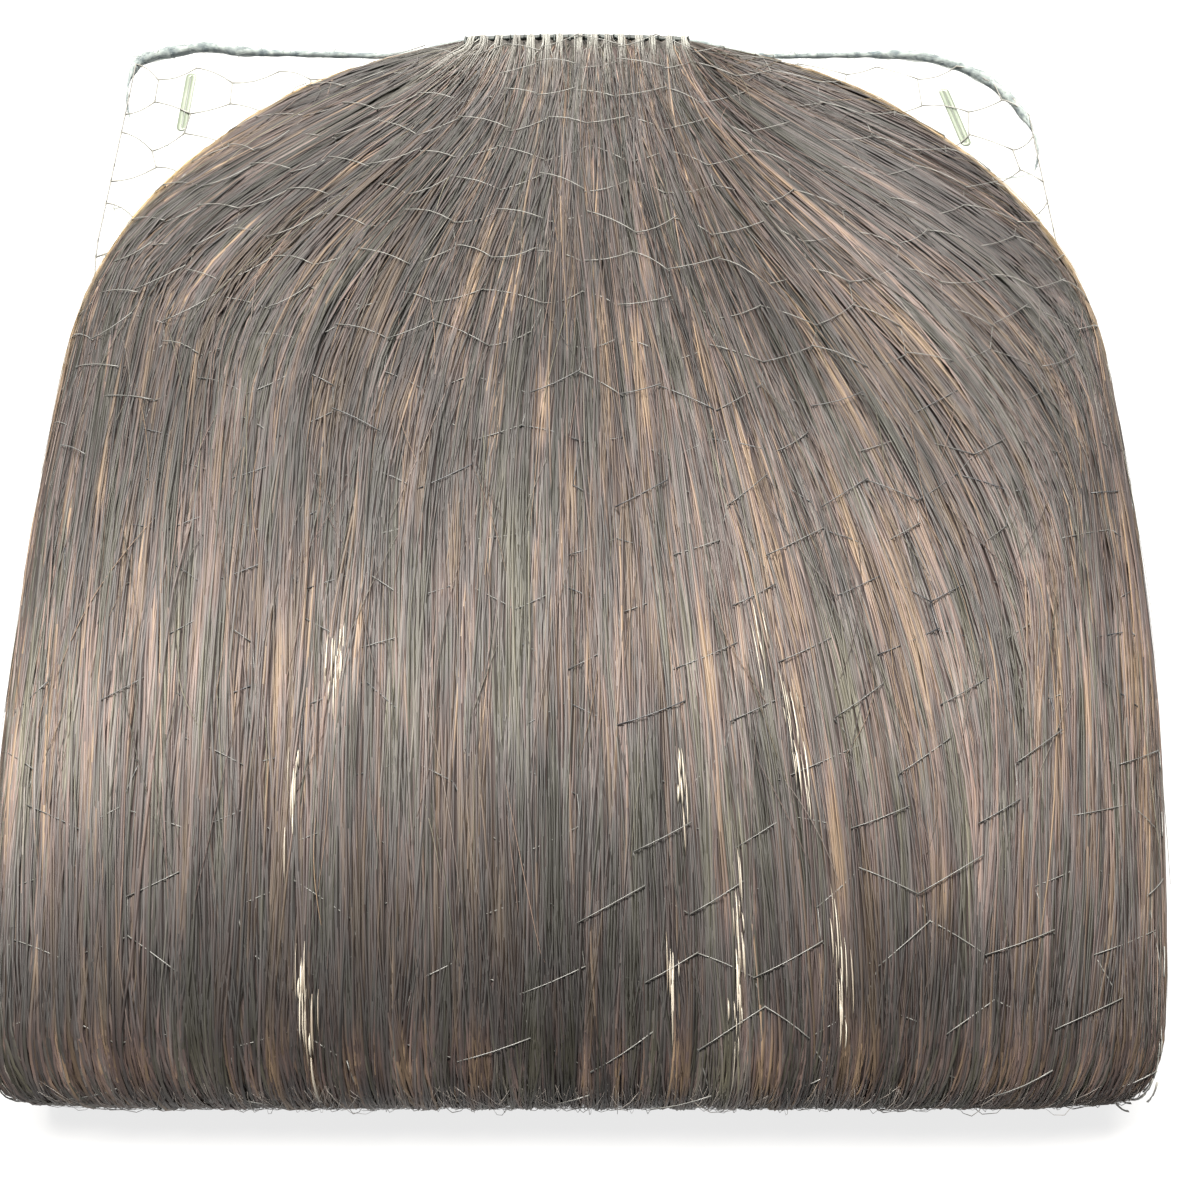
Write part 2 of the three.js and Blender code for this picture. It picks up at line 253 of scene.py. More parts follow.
def front_reach(share, depth):
    """Height of the hair's backing over the middle of the card."""
    to_root = np.clip(1 - depth / CREST_DEPTH, 0, 1)
    to_roll = np.clip((depth - CREST_DEPTH) / (CARD_END - CREST_DEPTH), 0, None)
    crest = CREST - CREST_ROOT_DROP * to_root**CREST_POWER - CREST_ROLL_DROP * to_roll**CREST_POWER
    power = mix(DOME_SHOULDER, DOME_ROLL, np.clip(depth, 0, None) / CARD_END)
    dome = np.clip(1 - share**power, 0, None) ** DOME_EDGE
    body = crest - lock_lift(depth) - (inner_reach(depth) - INNER_REACH)
    lip = mix(EDGE_LIP, EDGE_ROLL, ease(depth, EDGE_GROW_DEPTH, CARD_END))
    return inner_reach(depth) + mix(lip, body, dome)


def lock_lift(depth):
    return mix(LOCK_ROOT_LIFT, LOCK_LIFT, ease(depth, 0, LOCK_GROW_DEPTH))


def back_reach(back):
    return mix(BACK_REACH, TIP_REACH, np.clip(back / BACK_RUN, 0, 1) ** 2)


def stations(along):
    """Depth on the front, turn round the roll and distance up the back."""
    depth = np.minimum(along, CARD_END)
    turn = np.clip((along - CARD_END) / ROLL_ARC, 0, 1) * np.pi
    back = np.clip(along - ROLL_END, 0, None)
    return depth, turn, back


def wrap_points(x, depth, turn, back, reach):
    """Points that follow the hair round the card, at a reach from the card's middle."""
    y = back - depth - reach * np.sin(turn)
    z = CARD_MIDDLE + reach * np.cos(turn)
    return np.stack(np.broadcast_arrays(x, y, z), axis=-1)


def lane_place(lane, depth, turn, back):
    """How far a lane lies to the right. Behind the card the hair is drawn to the middle."""
    travel = ROLL_TRAVEL * turn / np.pi + (1 - ROLL_TRAVEL) * back / BACK_RUN
    outward = np.sign(lane) * outline_half(depth, lane) * lane_share(lane, depth)
    return outward * (1 - BACK_DRAW * travel)


def hair_reach(share, depth, turn, back):
    """Distance of the hair's surface from the middle of the card."""
    lifted = front_reach(share, depth) + LOCK_SHARE * lock_lift(depth)
    return mix(lifted, back_reach(back) + BACK_LIFT, turn / np.pi)


def crown_rise(x):
    """The weft is highest in the middle of its length."""
    return mix(CROWN_RISE, CROWN_END_RISE, np.clip(x / BAND_HALF, -1, 1) ** 2)


def crown_height(x, depth, lift):
    """Height over the round back of the weft."""
    back = np.clip((CROWN_DEPTH - depth) / CROWN_REACH, 0, 1)
    return BAND_UNDER + (crown_rise(x) + lift) * np.sqrt(1 - back**2)


def bundled(x, along):
    """Near the weft the hair is drawn into its sewn bundles."""
    off_bundle = x / RIB_PITCH - np.round(x / RIB_PITCH)
    return x - BUNDLE_DRAW * off_bundle * RIB_PITCH * (1 - ease(along, *BUNDLE_LOOSENS))


def hair_points(lane, along, lift):
    """Points on the hair: lane across, along the strand, lifted from its surface."""
    depth, turn, back = stations(along)
    reach = hair_reach(lane_share(lane, depth), depth, turn, back) + lift
    points = wrap_points(bundled(lane_place(lane, depth, turn, back), along), depth, turn, back, reach)
    crown = crown_height(points[..., 0], depth, lift)
    z = mix(crown, points[..., 2], ease(depth, CROWN_DEPTH, CROWN_BLEND))
    points[..., 2] = np.maximum(z, STRAND_FLOOR)
    return points


def surface_normals(lane, along):
    """Which way the smooth surface of the hair faces."""
    across = hair_points(lane + LANE_STEP, along, 0) - hair_points(lane - LANE_STEP, along, 0)
    ahead = hair_points(lane, along + ALONG_STEP, 0) - hair_points(lane, along - ALONG_STEP, 0)
    facing = np.cross(ahead, across)
    return facing / np.maximum(np.linalg.norm(facing, axis=-1, keepdims=True), 1e-9)


def clump_waves(lane, along):
    """Phases of the broad and the fine clumps, which wander as they go down."""
    uneven = lane + 0.021 * np.sin(9.7 * lane + 1.3) + 0.009 * np.sin(31 * lane + along / 60)
    phases = []
    for clumps, wander in ((BROAD_CLUMPS, BROAD_WANDER), (FINE_CLUMPS, FINE_WANDER)):
        phase = clumps * uneven
        for size, length, turns in wander:
            phase = phase + size * np.sin(along / length + turns * lane)
        phases.append(2 * np.pi * phase)
    return phases


def clumped(lane, along):
    """Lanes drawn together into clumps, and how high each clump stands."""
    broad, fine = clump_waves(lane, along)
    pull = BROAD_PULL / (2 * np.pi * BROAD_CLUMPS) * np.sin(broad)
    pull = pull + FINE_PULL / (2 * np.pi * FINE_CLUMPS) * np.sin(fine)
    drawn = lane - pull * np.minimum(1, HALF_LEFT / lane_width(lane, np.minimum(along, CARD_END)))
    locks = -np.cos(np.pi * LOCKS * (lane + 1)) * ease(along, *LOCKS_SHOW)
    height = LOCK_RELIEF * locks + BROAD_LIFT * np.cos(broad) + FINE_LIFT * np.cos(fine)
    return drawn, height * mix(1, ROLL_CALM, ease(along, ROLL_CALM_START, CARD_END))


def edge_glow(points, depth):
    """How near a point is to the thin edge of the shoulders, where light comes through."""
    lane = np.sign(points[..., 0])
    from_edge = outline_half(depth, lane) - np.abs(points[..., 0])
    return (1 - ease(from_edge, *GLOW_EDGE)) * (1 - ease(depth, *GLOW_GOES)) * ease(depth, *GLOW_COMES)


# Meshes
CELL_MARGIN = 0.08


def tubes(paths, radii, guide):
    """Thin closed tubes of three sides along many paths at once."""
    count, steps = radii.shape
    ahead = np.gradient(paths, axis=1)
    ahead /= np.linalg.norm(ahead, axis=2, keepdims=True)
    guide = np.asarray(guide, float)
    across = guide - (ahead @ guide)[..., None] * ahead
    across /= np.linalg.norm(across, axis=2, keepdims=True)
    above = np.cross(ahead, across)
    angle = 2 * np.pi * np.arange(3) / 3
    ring = (np.cos(angle)[:, None] * across[:, :, None] + np.sin(angle)[:, None] * above[:, :, None])
    points = paths[:, :, None] + radii[:, :, None, None] * ring

    index = np.arange(count * steps * 3).reshape(count, steps, 3)
    around = np.roll(index, -1, axis=2)
    quads = np.stack([index[:, :-1], around[:, :-1], around[:, 1:], index[:, 1:]], axis=-1).reshape(-1, 4)
    tris = np.concatenate([index[:, 0, ::-1], index[:, -1]])
    return points.reshape(-1, 3), quads, tris, tube_cells(count, steps)


def tube_cells(count, steps):
    """A cell of the texture square for each tube."""
    columns = math.ceil(math.sqrt(count))
    corner = np.stack([np.arange(count) % columns, np.arange(count) // columns], axis=-1)
    side = np.arange(3)[None, :] / 3
    row = np.arange(steps - 1)[:, None] / (steps - 1)
    step = 1 / (steps - 1)
    low = np.stack(np.broadcast_arrays(side, row), axis=-1)
    offsets = np.array([[0, 0], [1 / 3, 0], [1 / 3, step], [0, step]])
    quads = low[:, :, None] + offsets
    ends = np.array([[0, 0], [1, 0], [0.5, 0.03]])
    inside = CELL_MARGIN + (1 - 2 * CELL_MARGIN) * quads.reshape(1, -1, 2)
    quad_uv = (corner[:, None] + inside) / columns
    cap = np.concatenate([corner, corner])[:, None] + CELL_MARGIN + (1 - 2 * CELL_MARGIN) * ends
    return np.concatenate([quad_uv.reshape(-1, 2), (cap / columns).reshape(-1, 2)])


def make_piece(name, mesh_parts, look, values, normals=None):
    """A mesh piece in the model's frame that rides on it, with one number a point for each value."""
    points, quads, tris, uv = mesh_parts
    mesh = bpy.data.meshes.new(name)
    mesh.vertices.add(len(points))
    mesh.vertices.foreach_set("co", to_frame(points).astype(np.float32).ravel())
    corners = np.concatenate([quads.ravel(), tris.ravel()]).astype(np.int32)
    starts = np.concatenate([4 * np.arange(len(quads)), 4 * len(quads) + 3 * np.arange(len(tris))])
    mesh.loops.add(len(corners))
    mesh.loops.foreach_set("vertex_index", corners)
    mesh.polygons.add(len(starts))
    mesh.polygons.foreach_set("loop_start", starts.astype(np.int32))
    mesh.polygons.foreach_set("use_smooth", np.ones(len(starts), bool))
    mesh.uv_layers.new(name="OFBake").data.foreach_set("uv", uv.astype(np.float32).ravel())
    for key, numbers in values.items():
        layer = mesh.attributes.new(key, "FLOAT", "POINT")
        layer.data.foreach_set("value", np.ascontiguousarray(numbers, np.float32).ravel())
    mesh.update(calc_edges=True)
    mesh.validate()
    if normals is not None:
        mesh.normals_split_custom_set_from_vertices(normals.reshape(-1, 3).astype(np.float32))
    mesh.materials.append(look)
    piece = bpy.data.objects.new(name, mesh)
    bpy.context.scene.collection.objects.link(piece)
    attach(piece, "root")
    return piece


def per_point(numbers, shape):
    """One number a tube, or a step of a tube, repeated for the three points of each ring."""
    return np.repeat(np.broadcast_to(numbers, shape)[..., None], 3, axis=-1)


# Materials
class Look:
    """A node material under construction."""

    def __init__(self, name):
        self.material = bpy.data.materials.new(name)
        self.material.use_nodes = True
        self.tree = self.material.node_tree
        self.shader = self.tree.nodes["Principled BSDF"]

    def node(self, kind, inputs=None, **settings):
        made = self.tree.nodes.new("ShaderNode" + kind)
        for key, value in settings.items():
            setattr(made, key, value)
        for key, value in (inputs or {}).items():
            self.put(made.inputs[key], value)
        return made

    def put(self, socket, value):
        if isinstance(value, bpy.types.NodeSocket):
            self.tree.links.new(value, socket)
        else:
            socket.default_value = value

    def set(self, **inputs):
        for key, value in inputs.items():
            self.put(self.shader.inputs[key.replace("_", " ")], value)

    def value(self, name):
        return self.node("Attribute", attribute_name=name).outputs["Fac"]

    def ramp(self, source, stops):
        made = self.node("ValToRGB", {"Fac": source})
        places = made.color_ramp.elements
        while len(places) < len(stops):
            places.new(0.5)
        for place, (at, colour) in zip(places, stops):
            place.position = at
            place.color = (*colour, 1)
        return made.outputs["Color"]

    def noise(self, scale, stretch=(1, 1, 1), detail=3):
        spot = self.node("TexCoord").outputs["Object"]
        spread = self.node("Mapping", {"Vector": spot, "Scale": stretch}).outputs["Vector"]
        return self.node("TexNoise", {"Vector": spread, "Scale": scale, "Detail": detail}).outputs["Fac"]

    def span(self, source, low, high):
        made = self.node("MapRange", {"Value": source, "To Min": low, "To Max": high})
        return made.outputs["Result"]

    def blend(self, share, first, second, kind="MIX"):
        made = self.node("Mix", data_type="RGBA", blend_type=kind)
        for socket, value in zip((made.inputs[0], made.inputs[6], made.inputs[7]), (share, first, second)):
            self.put(socket, value)
        return made.outputs[2]

    def bump(self, height, strength, distance):
        made = self.node("Bump", {"Height": height, "Strength": strength, "Distance": distance})
        self.set(Normal=made.outputs["Normal"])


# Colours of the hair: painted backlight in gold at its thin edge, tones from dark to tan, and hues from warm
# to cool
PAINTED_BACKLIGHT = (0.28, 0.2, 0.105, 1)
HAIR_STOPS = [
    (0.0, (0.011, 0.0094, 0.0085)),
    (0.35, (0.027, 0.0234, 0.0212)),
    (0.6, (0.046, 0.0392, 0.035)),
    (0.82, (0.077, 0.065, 0.0562)),
    (1.0, (0.125, 0.105, 0.088)),
]
HUE_STOPS = [
    (0.0, (1.16, 0.97, 0.76)),
    (0.36, (1.01, 0.85, 0.89)),
    (0.66, (0.85, 0.9, 0.99)),
    (1.0, (0.87, 0.96, 0.82)),
]


def hair_look(name, roughness, gloss):
    look = Look(name)
    shade = look.ramp(look.value("shade"), HAIR_STOPS)
    hue = look.blend(1.0, shade, look.ramp(look.value("ash"), HUE_STOPS), "MULTIPLY")
    along = look.span(look.noise(900, (1, 0.08, 1)), 0.8, 1.2)
    varied = look.blend(1.0, hue, along, "MULTIPLY")
    # Gold at the thin edge: painted backlight where light comes through
    look.set(Base_Color=look.blend(look.value("glow"), varied, PAINTED_BACKLIGHT))
    look.set(Roughness=look.span(look.noise(600, (1, 0.1, 1)), roughness - 0.08, roughness + 0.08))
    look.set(Specular_IOR_Level=gloss)
    look.bump(look.noise(4000, (1, 0.15, 1)), 0.15, 0.0001)
    return look.material


def thread_look(name, stops, scale, roughness):
    look = Look(name)
    look.set(Base_Color=look.ramp(look.noise(scale), stops))
    look.set(Roughness=look.span(look.noise(scale), roughness - 0.1, roughness + 0.1))
    look.bump(look.noise(4 * scale), 0.3, 0.0001)
    return look.material


def card_look():
    look = Look("clear_plastic")
    smudge = look.noise(60, (1, 1.6, 1), 4)
    look.set(Base_Color=look.ramp(smudge, [(0.3, (0.86, 0.93, 0.88)), (0.7, (0.93, 0.96, 0.94))]))
    look.set(Roughness=look.span(smudge, 0.05, 0.16))
    look.set(Alpha=0.09, IOR=1.49)
    look.bump(look.noise(25, detail=2), 0.1, 0.0004)
    return look.material


def steel_look():
    look = Look("dark_steel")
    worn = look.noise(140, (1, 6, 1), 5)
    look.set(Base_Color=look.ramp(worn, [(0.35, (0.016, 0.015, 0.014)), (0.75, (0.05, 0.046, 0.042))]))
    look.set(Roughness=look.span(worn, 0.28, 0.5))
    look.set(Metallic=0.35)
    look.bump(look.noise(900, (1, 8, 1)), 0.15, 0.0002)
    return look.material


def elastic_look():
    look = Look("elastic")
    mottled = look.noise(700, detail=5)
    fibres = look.ramp(mottled, [(0.32, (0.07, 0.09, 0.098)), (0.68, (0.26, 0.29, 0.275))])
    # Darker in the grooves between the twisted plies: painted shade
    groove_shade = look.ramp(look.value("ply"), [(0.0, (0.7, 0.72, 0.75)), (0.7, (1, 1, 1))])
    look.set(Base_Color=look.blend(1.0, fibres, groove_shade, "MULTIPLY"))
    look.set(Roughness=look.span(look.noise(500), 0.7, 0.95))
    look.bump(look.noise(2500), 0.5, 0.0002)
    return look.material


def pale_look(name, dark, light):
    """Hair or thread that turns from one colour to a pale one along its length."""
    look = Look(name)
    look.set(Base_Color=look.ramp(look.value("pale"), [(0.0, dark), (1.0, light)]))
    look.set(Roughness=look.span(look.noise(600, (1, 0.1, 1)), 0.3, 0.45))
    look.bump(look.noise(4000, (1, 0.15, 1)), 0.15, 0.0001)
    return look.material


def slit_look():
    look = Look("slit_edge")
    tint = look.ramp(look.noise(200), [(0.3, (0.12, 0.14, 0.108)), (0.7, (0.155, 0.175, 0.14))])
    look.set(Base_Color=tint)
    look.set(Roughness=look.span(look.noise(120), 0.2, 0.4))
    return look.material


HAIR = hair_look("hair_fibre", 0.45, 0.22)
MASS = hair_look("hair_mass", 0.6, 0.15)
NET = pale_look("net_thread", (0.03, 0.033, 0.04), (0.165, 0.162, 0.148))
STITCH = thread_look("stitch_thread", [(0.3, (0.012, 0.016, 0.015)), (0.7, (0.05, 0.06, 0.056))], 500, 0.6)
FUZZ = thread_look("elastic_fuzz", [(0.3, (0.08, 0.1, 0.105)), (0.7, (0.24, 0.265, 0.255))], 500, 0.8)
WEFT = thread_look("sewn_weft", [(0.3, (0.014, 0.013, 0.011)), (0.7, (0.05, 0.043, 0.036))], 900, 0.7)
ELASTIC = elastic_look()
SLIT = slit_look()
STEEL = steel_look()
PAINTED_GLINT = pale_look("painted_glint_hair", (0.1, 0.077, 0.055), (0.34, 0.31, 0.26))
ROLL_PAINTED_LIGHT = pale_look("roll_hair_painted_light", (0.1, 0.088, 0.08), (0.24, 0.218, 0.2))
BUNDLE = pale_look("painted_highlight_hair", (0.045, 0.037, 0.032), (0.19, 0.19, 0.172))


# Tones of the hair: streaks from broad to narrow, how much darker it is along the way, and soft spots,
# each with its place across, place along, width, length and lift. Along the way it is painted light and
# shade: a painted highlight at the roots where they bend over the weft, greyer there too, painted shade
# over the upper part, a painted sheen band across the middle, painted shade on the roll and painted
# light at its lower edge. The lighter spots at the left of the sheen band and on the right shoulder are
# painted light as well
STREAK_SIZES = [(30, 9, 0.08), (120, 24, 0.11), (260, 40, 0.13)]
STREAKS = [(rng.normal(0, 1, (across, down)), weight) for across, down, weight in STREAK_SIZES]
ASH_PATCHES = [(rng.normal(0, 1, (46, 12)), 0.2), (rng.normal(0, 1, (200, 34)), 0.28)]
PATCH_SPREAD = 0.6
TONE_DRAW = (8.0, 13.3)
TONE_MIDDLE = 0.4
TONE_SPREAD = (1.35, 0.9)
TONE_CALMS = (60, 120)
ASH_DRAW = (0.48, 0.18)
ROOT_ASH = 0.25
ROOT_ASH_FADES = (2, 12)
PALE_SHARE = 0.09
PALE_LIFT = 0.24
COOL_DARK = 0.9
TONE_MARKS = [0, 4, 10, 36, 59, 78, 95, 111, 125, 138, 150, 161, 168, 175, 190]
PAINTED_LIGHT_DROP = [-0.32, -0.22, 0.02, 0.13, 0.09, 0.0, -0.09, -0.2, -0.3, -0.2, 0.05, 0.45, -0.2, -0.5, -0.5]
TONE_SPOTS = [
    (-25, 92, 15, 30, -0.18), (-8, 146, 26, 13, -0.16), (-66, 138, 16, 18, 0.2), (-45, 126, 20, 12, 0.16),
    (36, 102, 22, 18, 0.2), (53, 152, 22, 14, 0.26), (21, 161, 8, 8, 0.26), (48, 59, 18, 16, 0.17),
    (-50, 59, 14, 16, 0.08), (22, 78, 14, 12, 0.07), (52, 36, 18, 18, 0.17), (40, 60, 24, 30, 0.09),
    (24, 152, 14, 12, 0.16), (-45, 90, 22, 20, -0.16),
]
MAUVE = 0.36
MAUVE_SPOT = (56, 40, 26, 30, 0.65)

# Hair body: the mass of hair that the strands lie on
BODY_COLUMNS = 121
BODY_ROWS = 84
BODY_SINK = -0.5
BODY_START = 3.8
BODY_END = 300
BODY_INSET = 0.988
BODY_RELIEF = 0.8
BODY_EDGE_POWER = 8
BODY_SHADE = 0.55
BODY_RELIEF_PAINTED_SHADE = 0.08
BODY_INNER_PAINTED_SHADE = 0.2
BODY_ASH = 0.4


def hair_body():
    """A closed shell: the clumped outside, the inside along the card, and a rim between them."""
    lane = np.linspace(-1, 1, BODY_COLUMNS)[None, :]
    along = np.interp(np.linspace(BODY_START, BODY_END, BODY_ROWS), PACE_MARKS, ALONG_MARKS)[:, None]
    drawn, height = clumped(lane, along)
    edge = 1 - np.abs(lane) ** BODY_EDGE_POWER
    outside = hair_points(mix(lane, drawn, edge), along, BODY_SINK + BODY_RELIEF * height * edge)
    depth, turn, back = stations(along)
    x = lane_place(lane, depth, turn, back)
    inside = wrap_points(x, depth, turn, back, mix(inner_reach(depth), INNER_REACH, turn / np.pi))
    points = np.concatenate([outside.reshape(-1, 3), inside.reshape(-1, 3)]) * np.array([BODY_INSET, 1, 1])

    index = np.arange(BODY_ROWS * BODY_COLUMNS).reshape(BODY_ROWS, BODY_COLUMNS)
    under = index + index.size
    top = np.stack([index[:-1, :-1], index[1:, :-1], index[1:, 1:], index[:-1, 1:]], axis=-1)
    bottom = np.stack([under[:-1, :-1], under[:-1, 1:], under[1:, 1:], under[1:, :-1]], axis=-1)
    loop = np.concatenate([index[:-1, 0], index[-1, :-1], index[:0:-1, -1], index[0, :0:-1]])
    ahead = np.roll(loop, -1)
    rim = np.stack([loop, loop + index.size, ahead + index.size, ahead], axis=-1)
    quads = np.concatenate([top.reshape(-1, 4), bottom.reshape(-1, 4), rim])

    u = np.broadcast_to((lane + 1) / 2, index.shape)
    v = np.broadcast_to(np.linspace(0, 0.49, BODY_ROWS)[:, None], index.shape)
    spots = np.concatenate([np.stack([u, row], axis=-1).reshape(-1, 2) for row in (v, v + 0.51)])
    # Raised clumps lighter and the inside along the card darker: painted shade
    shade = BODY_SHADE + BODY_RELIEF_PAINTED_SHADE * height.ravel()
    values = {
        "shade": np.concatenate([shade, np.full(index.size, BODY_INNER_PAINTED_SHADE)]),
        "ash": np.full(2 * index.size, BODY_ASH),
        "glow": np.zeros(2 * index.size),
    }
    mesh_parts = (points, quads, np.zeros((0, 3), int), spots[quads.ravel()])
    return make_piece("hair_body", mesh_parts, MASS, values)


def strand_seeds(count):
    """Lanes and places along the hair, evenly over its surface."""
    lane = rng.uniform(-1, 1, SEED_TRIES * count)
    pace = rng.uniform(PACE_MARKS[0], PACE_MARKS[-1], SEED_TRIES * count)
    depth = np.minimum(np.interp(pace, PACE_MARKS, ALONG_MARKS), CARD_END)
    width = lane_width(lane, depth)
    kept = rng.choice(lane.size, count, replace=False, p=width / width.sum())
    return lane[kept], pace[kept]


def patches(grid, lane, along):
    """Smooth patches over the hair from a grid of random numbers, finer near its edges."""
    spread = np.sign(lane) * (1 - np.clip(1 - np.abs(lane), 0, 1) ** PATCH_SPREAD)
    across = (spread + 1) / 2 * (grid.shape[0] - 1)
    down = np.clip((along - BAND_BACK) / (TIP_END - BAND_BACK), 0, 1) * (grid.shape[1] - 1)
    column = np.minimum(across.astype(int), grid.shape[0] - 2)
    row = np.minimum(down.astype(int), grid.shape[1] - 2)
    beside = ease(across - column, 0, 1)
    near = mix(grid[column, row], grid[column + 1, row], beside)
    far = mix(grid[column, row + 1], grid[column + 1, row + 1], beside)
    return mix(near, far, ease(down - row, 0, 1))


def soft_spot(x, along, at_x, at_along, wide, tall, height):
    """A soft round spot on the hair, of the given height at its middle."""
    return height * np.exp(-(((x - at_x) / wide) ** 2) - ((along - at_along) / tall) ** 2)


def strand_tones(lane, along, x):
    """Tones and hues of strands, in streaks that neighbours share. Pale hair is warm and dark is cool."""
    count = lane.shape[0]
    pale = np.where(rng.uniform(0, 1, (count, 1)) < PALE_SHARE, PALE_LIFT, 0)
    streaks = sum(weight * patches(grid, lane, along) for grid, weight in STREAKS)
    varied = rng.beta(*TONE_DRAW, (count, 1)) + pale + streaks
    varied = TONE_MIDDLE + (varied - TONE_MIDDLE) * mix(*TONE_SPREAD, ease(along, *TONE_CALMS))
    # Spots and the drop along the way paint sheen, highlight, light and shade into the tone
    spots = sum(soft_spot(x, along, *spot) for spot in TONE_SPOTS)
    shade = varied + spots - np.interp(along, TONE_MARKS, PAINTED_LIGHT_DROP)
    hues = sum(weight * patches(grid, lane, along) for grid, weight in ASH_PATCHES)
    root = ROOT_ASH * (1 - ease(along, *ROOT_ASH_FADES))
    ash = rng.normal(*ASH_DRAW, (count, 1)) + hues + COOL_DARK * (TONE_MIDDLE - varied) + root
    ash = mix(ash, MAUVE, soft_spot(x, along, *MAUVE_SPOT))
    return np.clip(shade, 0, 1), np.clip(ash, 0, 1)


def hair_strands(name):
    """Strands that follow the clumps, shaded partly as round threads and partly as a smooth surface."""
    lane, pace = strand_seeds(STRANDS_A_PIECE)
    half = rng.uniform(*STRAND_HALF_RUN, lane.size)
    first = np.clip(pace - half, PACE_MARKS[0], None)
    last = np.clip(pace + half, None, PACE_MARKS[-1])
    share = shares(STRAND_STEPS)
    along = np.interp(mix(first[:, None], last[:, None], share), PACE_MARKS, ALONG_MARKS)
    drawn, height = clumped(lane[:, None], along)
    sway = bell(STRAND_SWAY, lane.size)
    drift = bell(1, lane.size) * mix(*STRAND_DRIFT, ease(along, *STRAND_LOOSE))
    wave = np.sin(along / even(STRAND_WAVE, lane.size) + STRAND_WAVE_TURNS * lane[:, None])
    depth, _, _ = stations(along)
    width = np.maximum(lane_width(lane[:, None], depth), NARROWEST_LANE)
    drawn = drawn + (sway * wave + drift * (share - 0.5)) / width
    drawn = np.clip(drawn, -STRAND_EDGE, STRAND_EDGE)
    layer = even(STRAND_LAYER, lane.size)
    tucked = STRAND_TUCK * (2 - ease(share, 0, STRAND_TUCK_RUN) - ease(1 - share, 0, STRAND_TUCK_RUN))
    paths = hair_points(drawn, along, height + layer - tucked)
    taper = mix(STRAND_TIP, 1, np.sin(np.pi * share) ** 0.5)
    radii = even(STRAND_RADIUS, lane.size) * taper
    shape = radii.shape
    shade, ash = strand_tones(drawn, along, paths[..., 0])
    values = {
        "shade": per_point(shade, shape),
        "ash": per_point(ash, shape),
        "glow": per_point(edge_glow(paths, depth) * even(STRAND_GLOW, lane.size), shape),
    }
    mesh_parts = tubes(paths, radii, (1, 0, 0))
    outward = mesh_parts[0].reshape(*shape, 3, 3) - paths[:, :, None]
    outward /= radii[..., None, None]
    flat = surface_normals(lane[:, None], along)[:, :, None]
    normals = mix(outward, flat, STRAND_FLAT)
    normals /= np.linalg.norm(normals, axis=-1, keepdims=True)
    make_piece(name, mesh_parts, HAIR, values, normals)


# Loose hairs: wisps on top, fuzz and strands at the sides, fuzz at the roll in painted pale light, and pale
# flecks that are painted glints
LOOSE_TIP = 0.4
FINE_TIP = 0.3
WISPS = 620
WISP_STEPS = 9
WISP_END = 150
WISP_RADIUS = (0.045, 0.075)
WISP_RUN = (12, 34)
WISP_DRIFT = 0.05
WISP_BOW = 0.012
WISP_LIFT = (0.3, 0.9)
WISP_SINK = 0.1
WISP_SHADE = (0.8, 0.2)
FUZZ_SIDES = 520
FUZZ_STEPS = 7
FUZZ_START = (6, 150)
FUZZ_RUN = (10, 34)
FUZZ_OUT = 0.003
FUZZ_LANES = (0.965, 0.996)
FUZZ_LIFT = (0.1, 0.35)
FUZZ_SHADE = (0.75, 0.2)
FUZZ_RADIUS = (0.03, 0.055)
SIDE_HAIRS = 640
SIDE_STEPS = 9
SIDE_LANES = (0.985, 0.998)
SIDE_START = 22
SIDE_RUN = 60
SIDE_SHADE = (0.5, 0.17)
SIDE_RADIUS = (0.1, 0.22)
SIDE_SLANT = 0.12
FLUFF = 1100
FLUFF_STEPS = 5
FLUFF_LANE = 0.99
FLUFF_LEAN = 0.035
FLUFF_START = (CARD_END + 6, CARD_END + 13)
FLUFF_RUN = (5, 12)
FLUFF_BASE = 0.15
FLUFF_RISE = 0.16
FLUFF_RADIUS = (0.025, 0.05)
FLECKS = [
    (-29, 120), (-29.7, 126), (-33.3, 137), (-30.5, 160), (-29.6, 164),
    (22.6, 119), (25.5, 128), (26.3, 134), (18.2, 151), (17.9, 157),
    (17.5, 164), (10.5, 159), (29.9, 155), (29.2, 161), (12.4, 137),
]
FLECK_HAIRS = 8
FLECK_STEPS = 6
FLECK_SPREAD = 2.8
FLECK_ASIDE = 0.006
FLECK_LEAN = 0.001
FLECK_RUN = (2, 8)
FLECK_RISE = 0.55
FLECK_BASE = 0.1
FLECK_RADIUS = (0.07, 0.17)
FLECK_GLINT = (1.7, 1.2)


def loose_piece(name, lane, along, lift, radius, shade):
    """Loose hairs, each thin at both ends."""
    share = shares(along.shape[1])
    radii = radius[:, None] * mix(LOOSE_TIP, 1, np.sin(np.pi * share))
    paths = hair_points(lane, along, lift)
    values = {
        "shade": per_point(shade[:, None], radii.shape),
        "ash": per_point(even((0, 1), len(lane)), radii.shape),
        "glow": per_point(edge_glow(paths, stations(along)[0]), radii.shape),
    }
    make_piece(name, tubes(paths, radii, (1, 0, 0)), HAIR, values)


def pale_piece(name, lane, along, lift, radii, pale, look):
    """Hairs with a look that has a dark and a pale end."""
    mesh_parts = tubes(hair_points(lane, along, lift), radii, (1, 0, 0))
    make_piece(name, mesh_parts, look, {"pale": per_point(pale, radii.shape)})


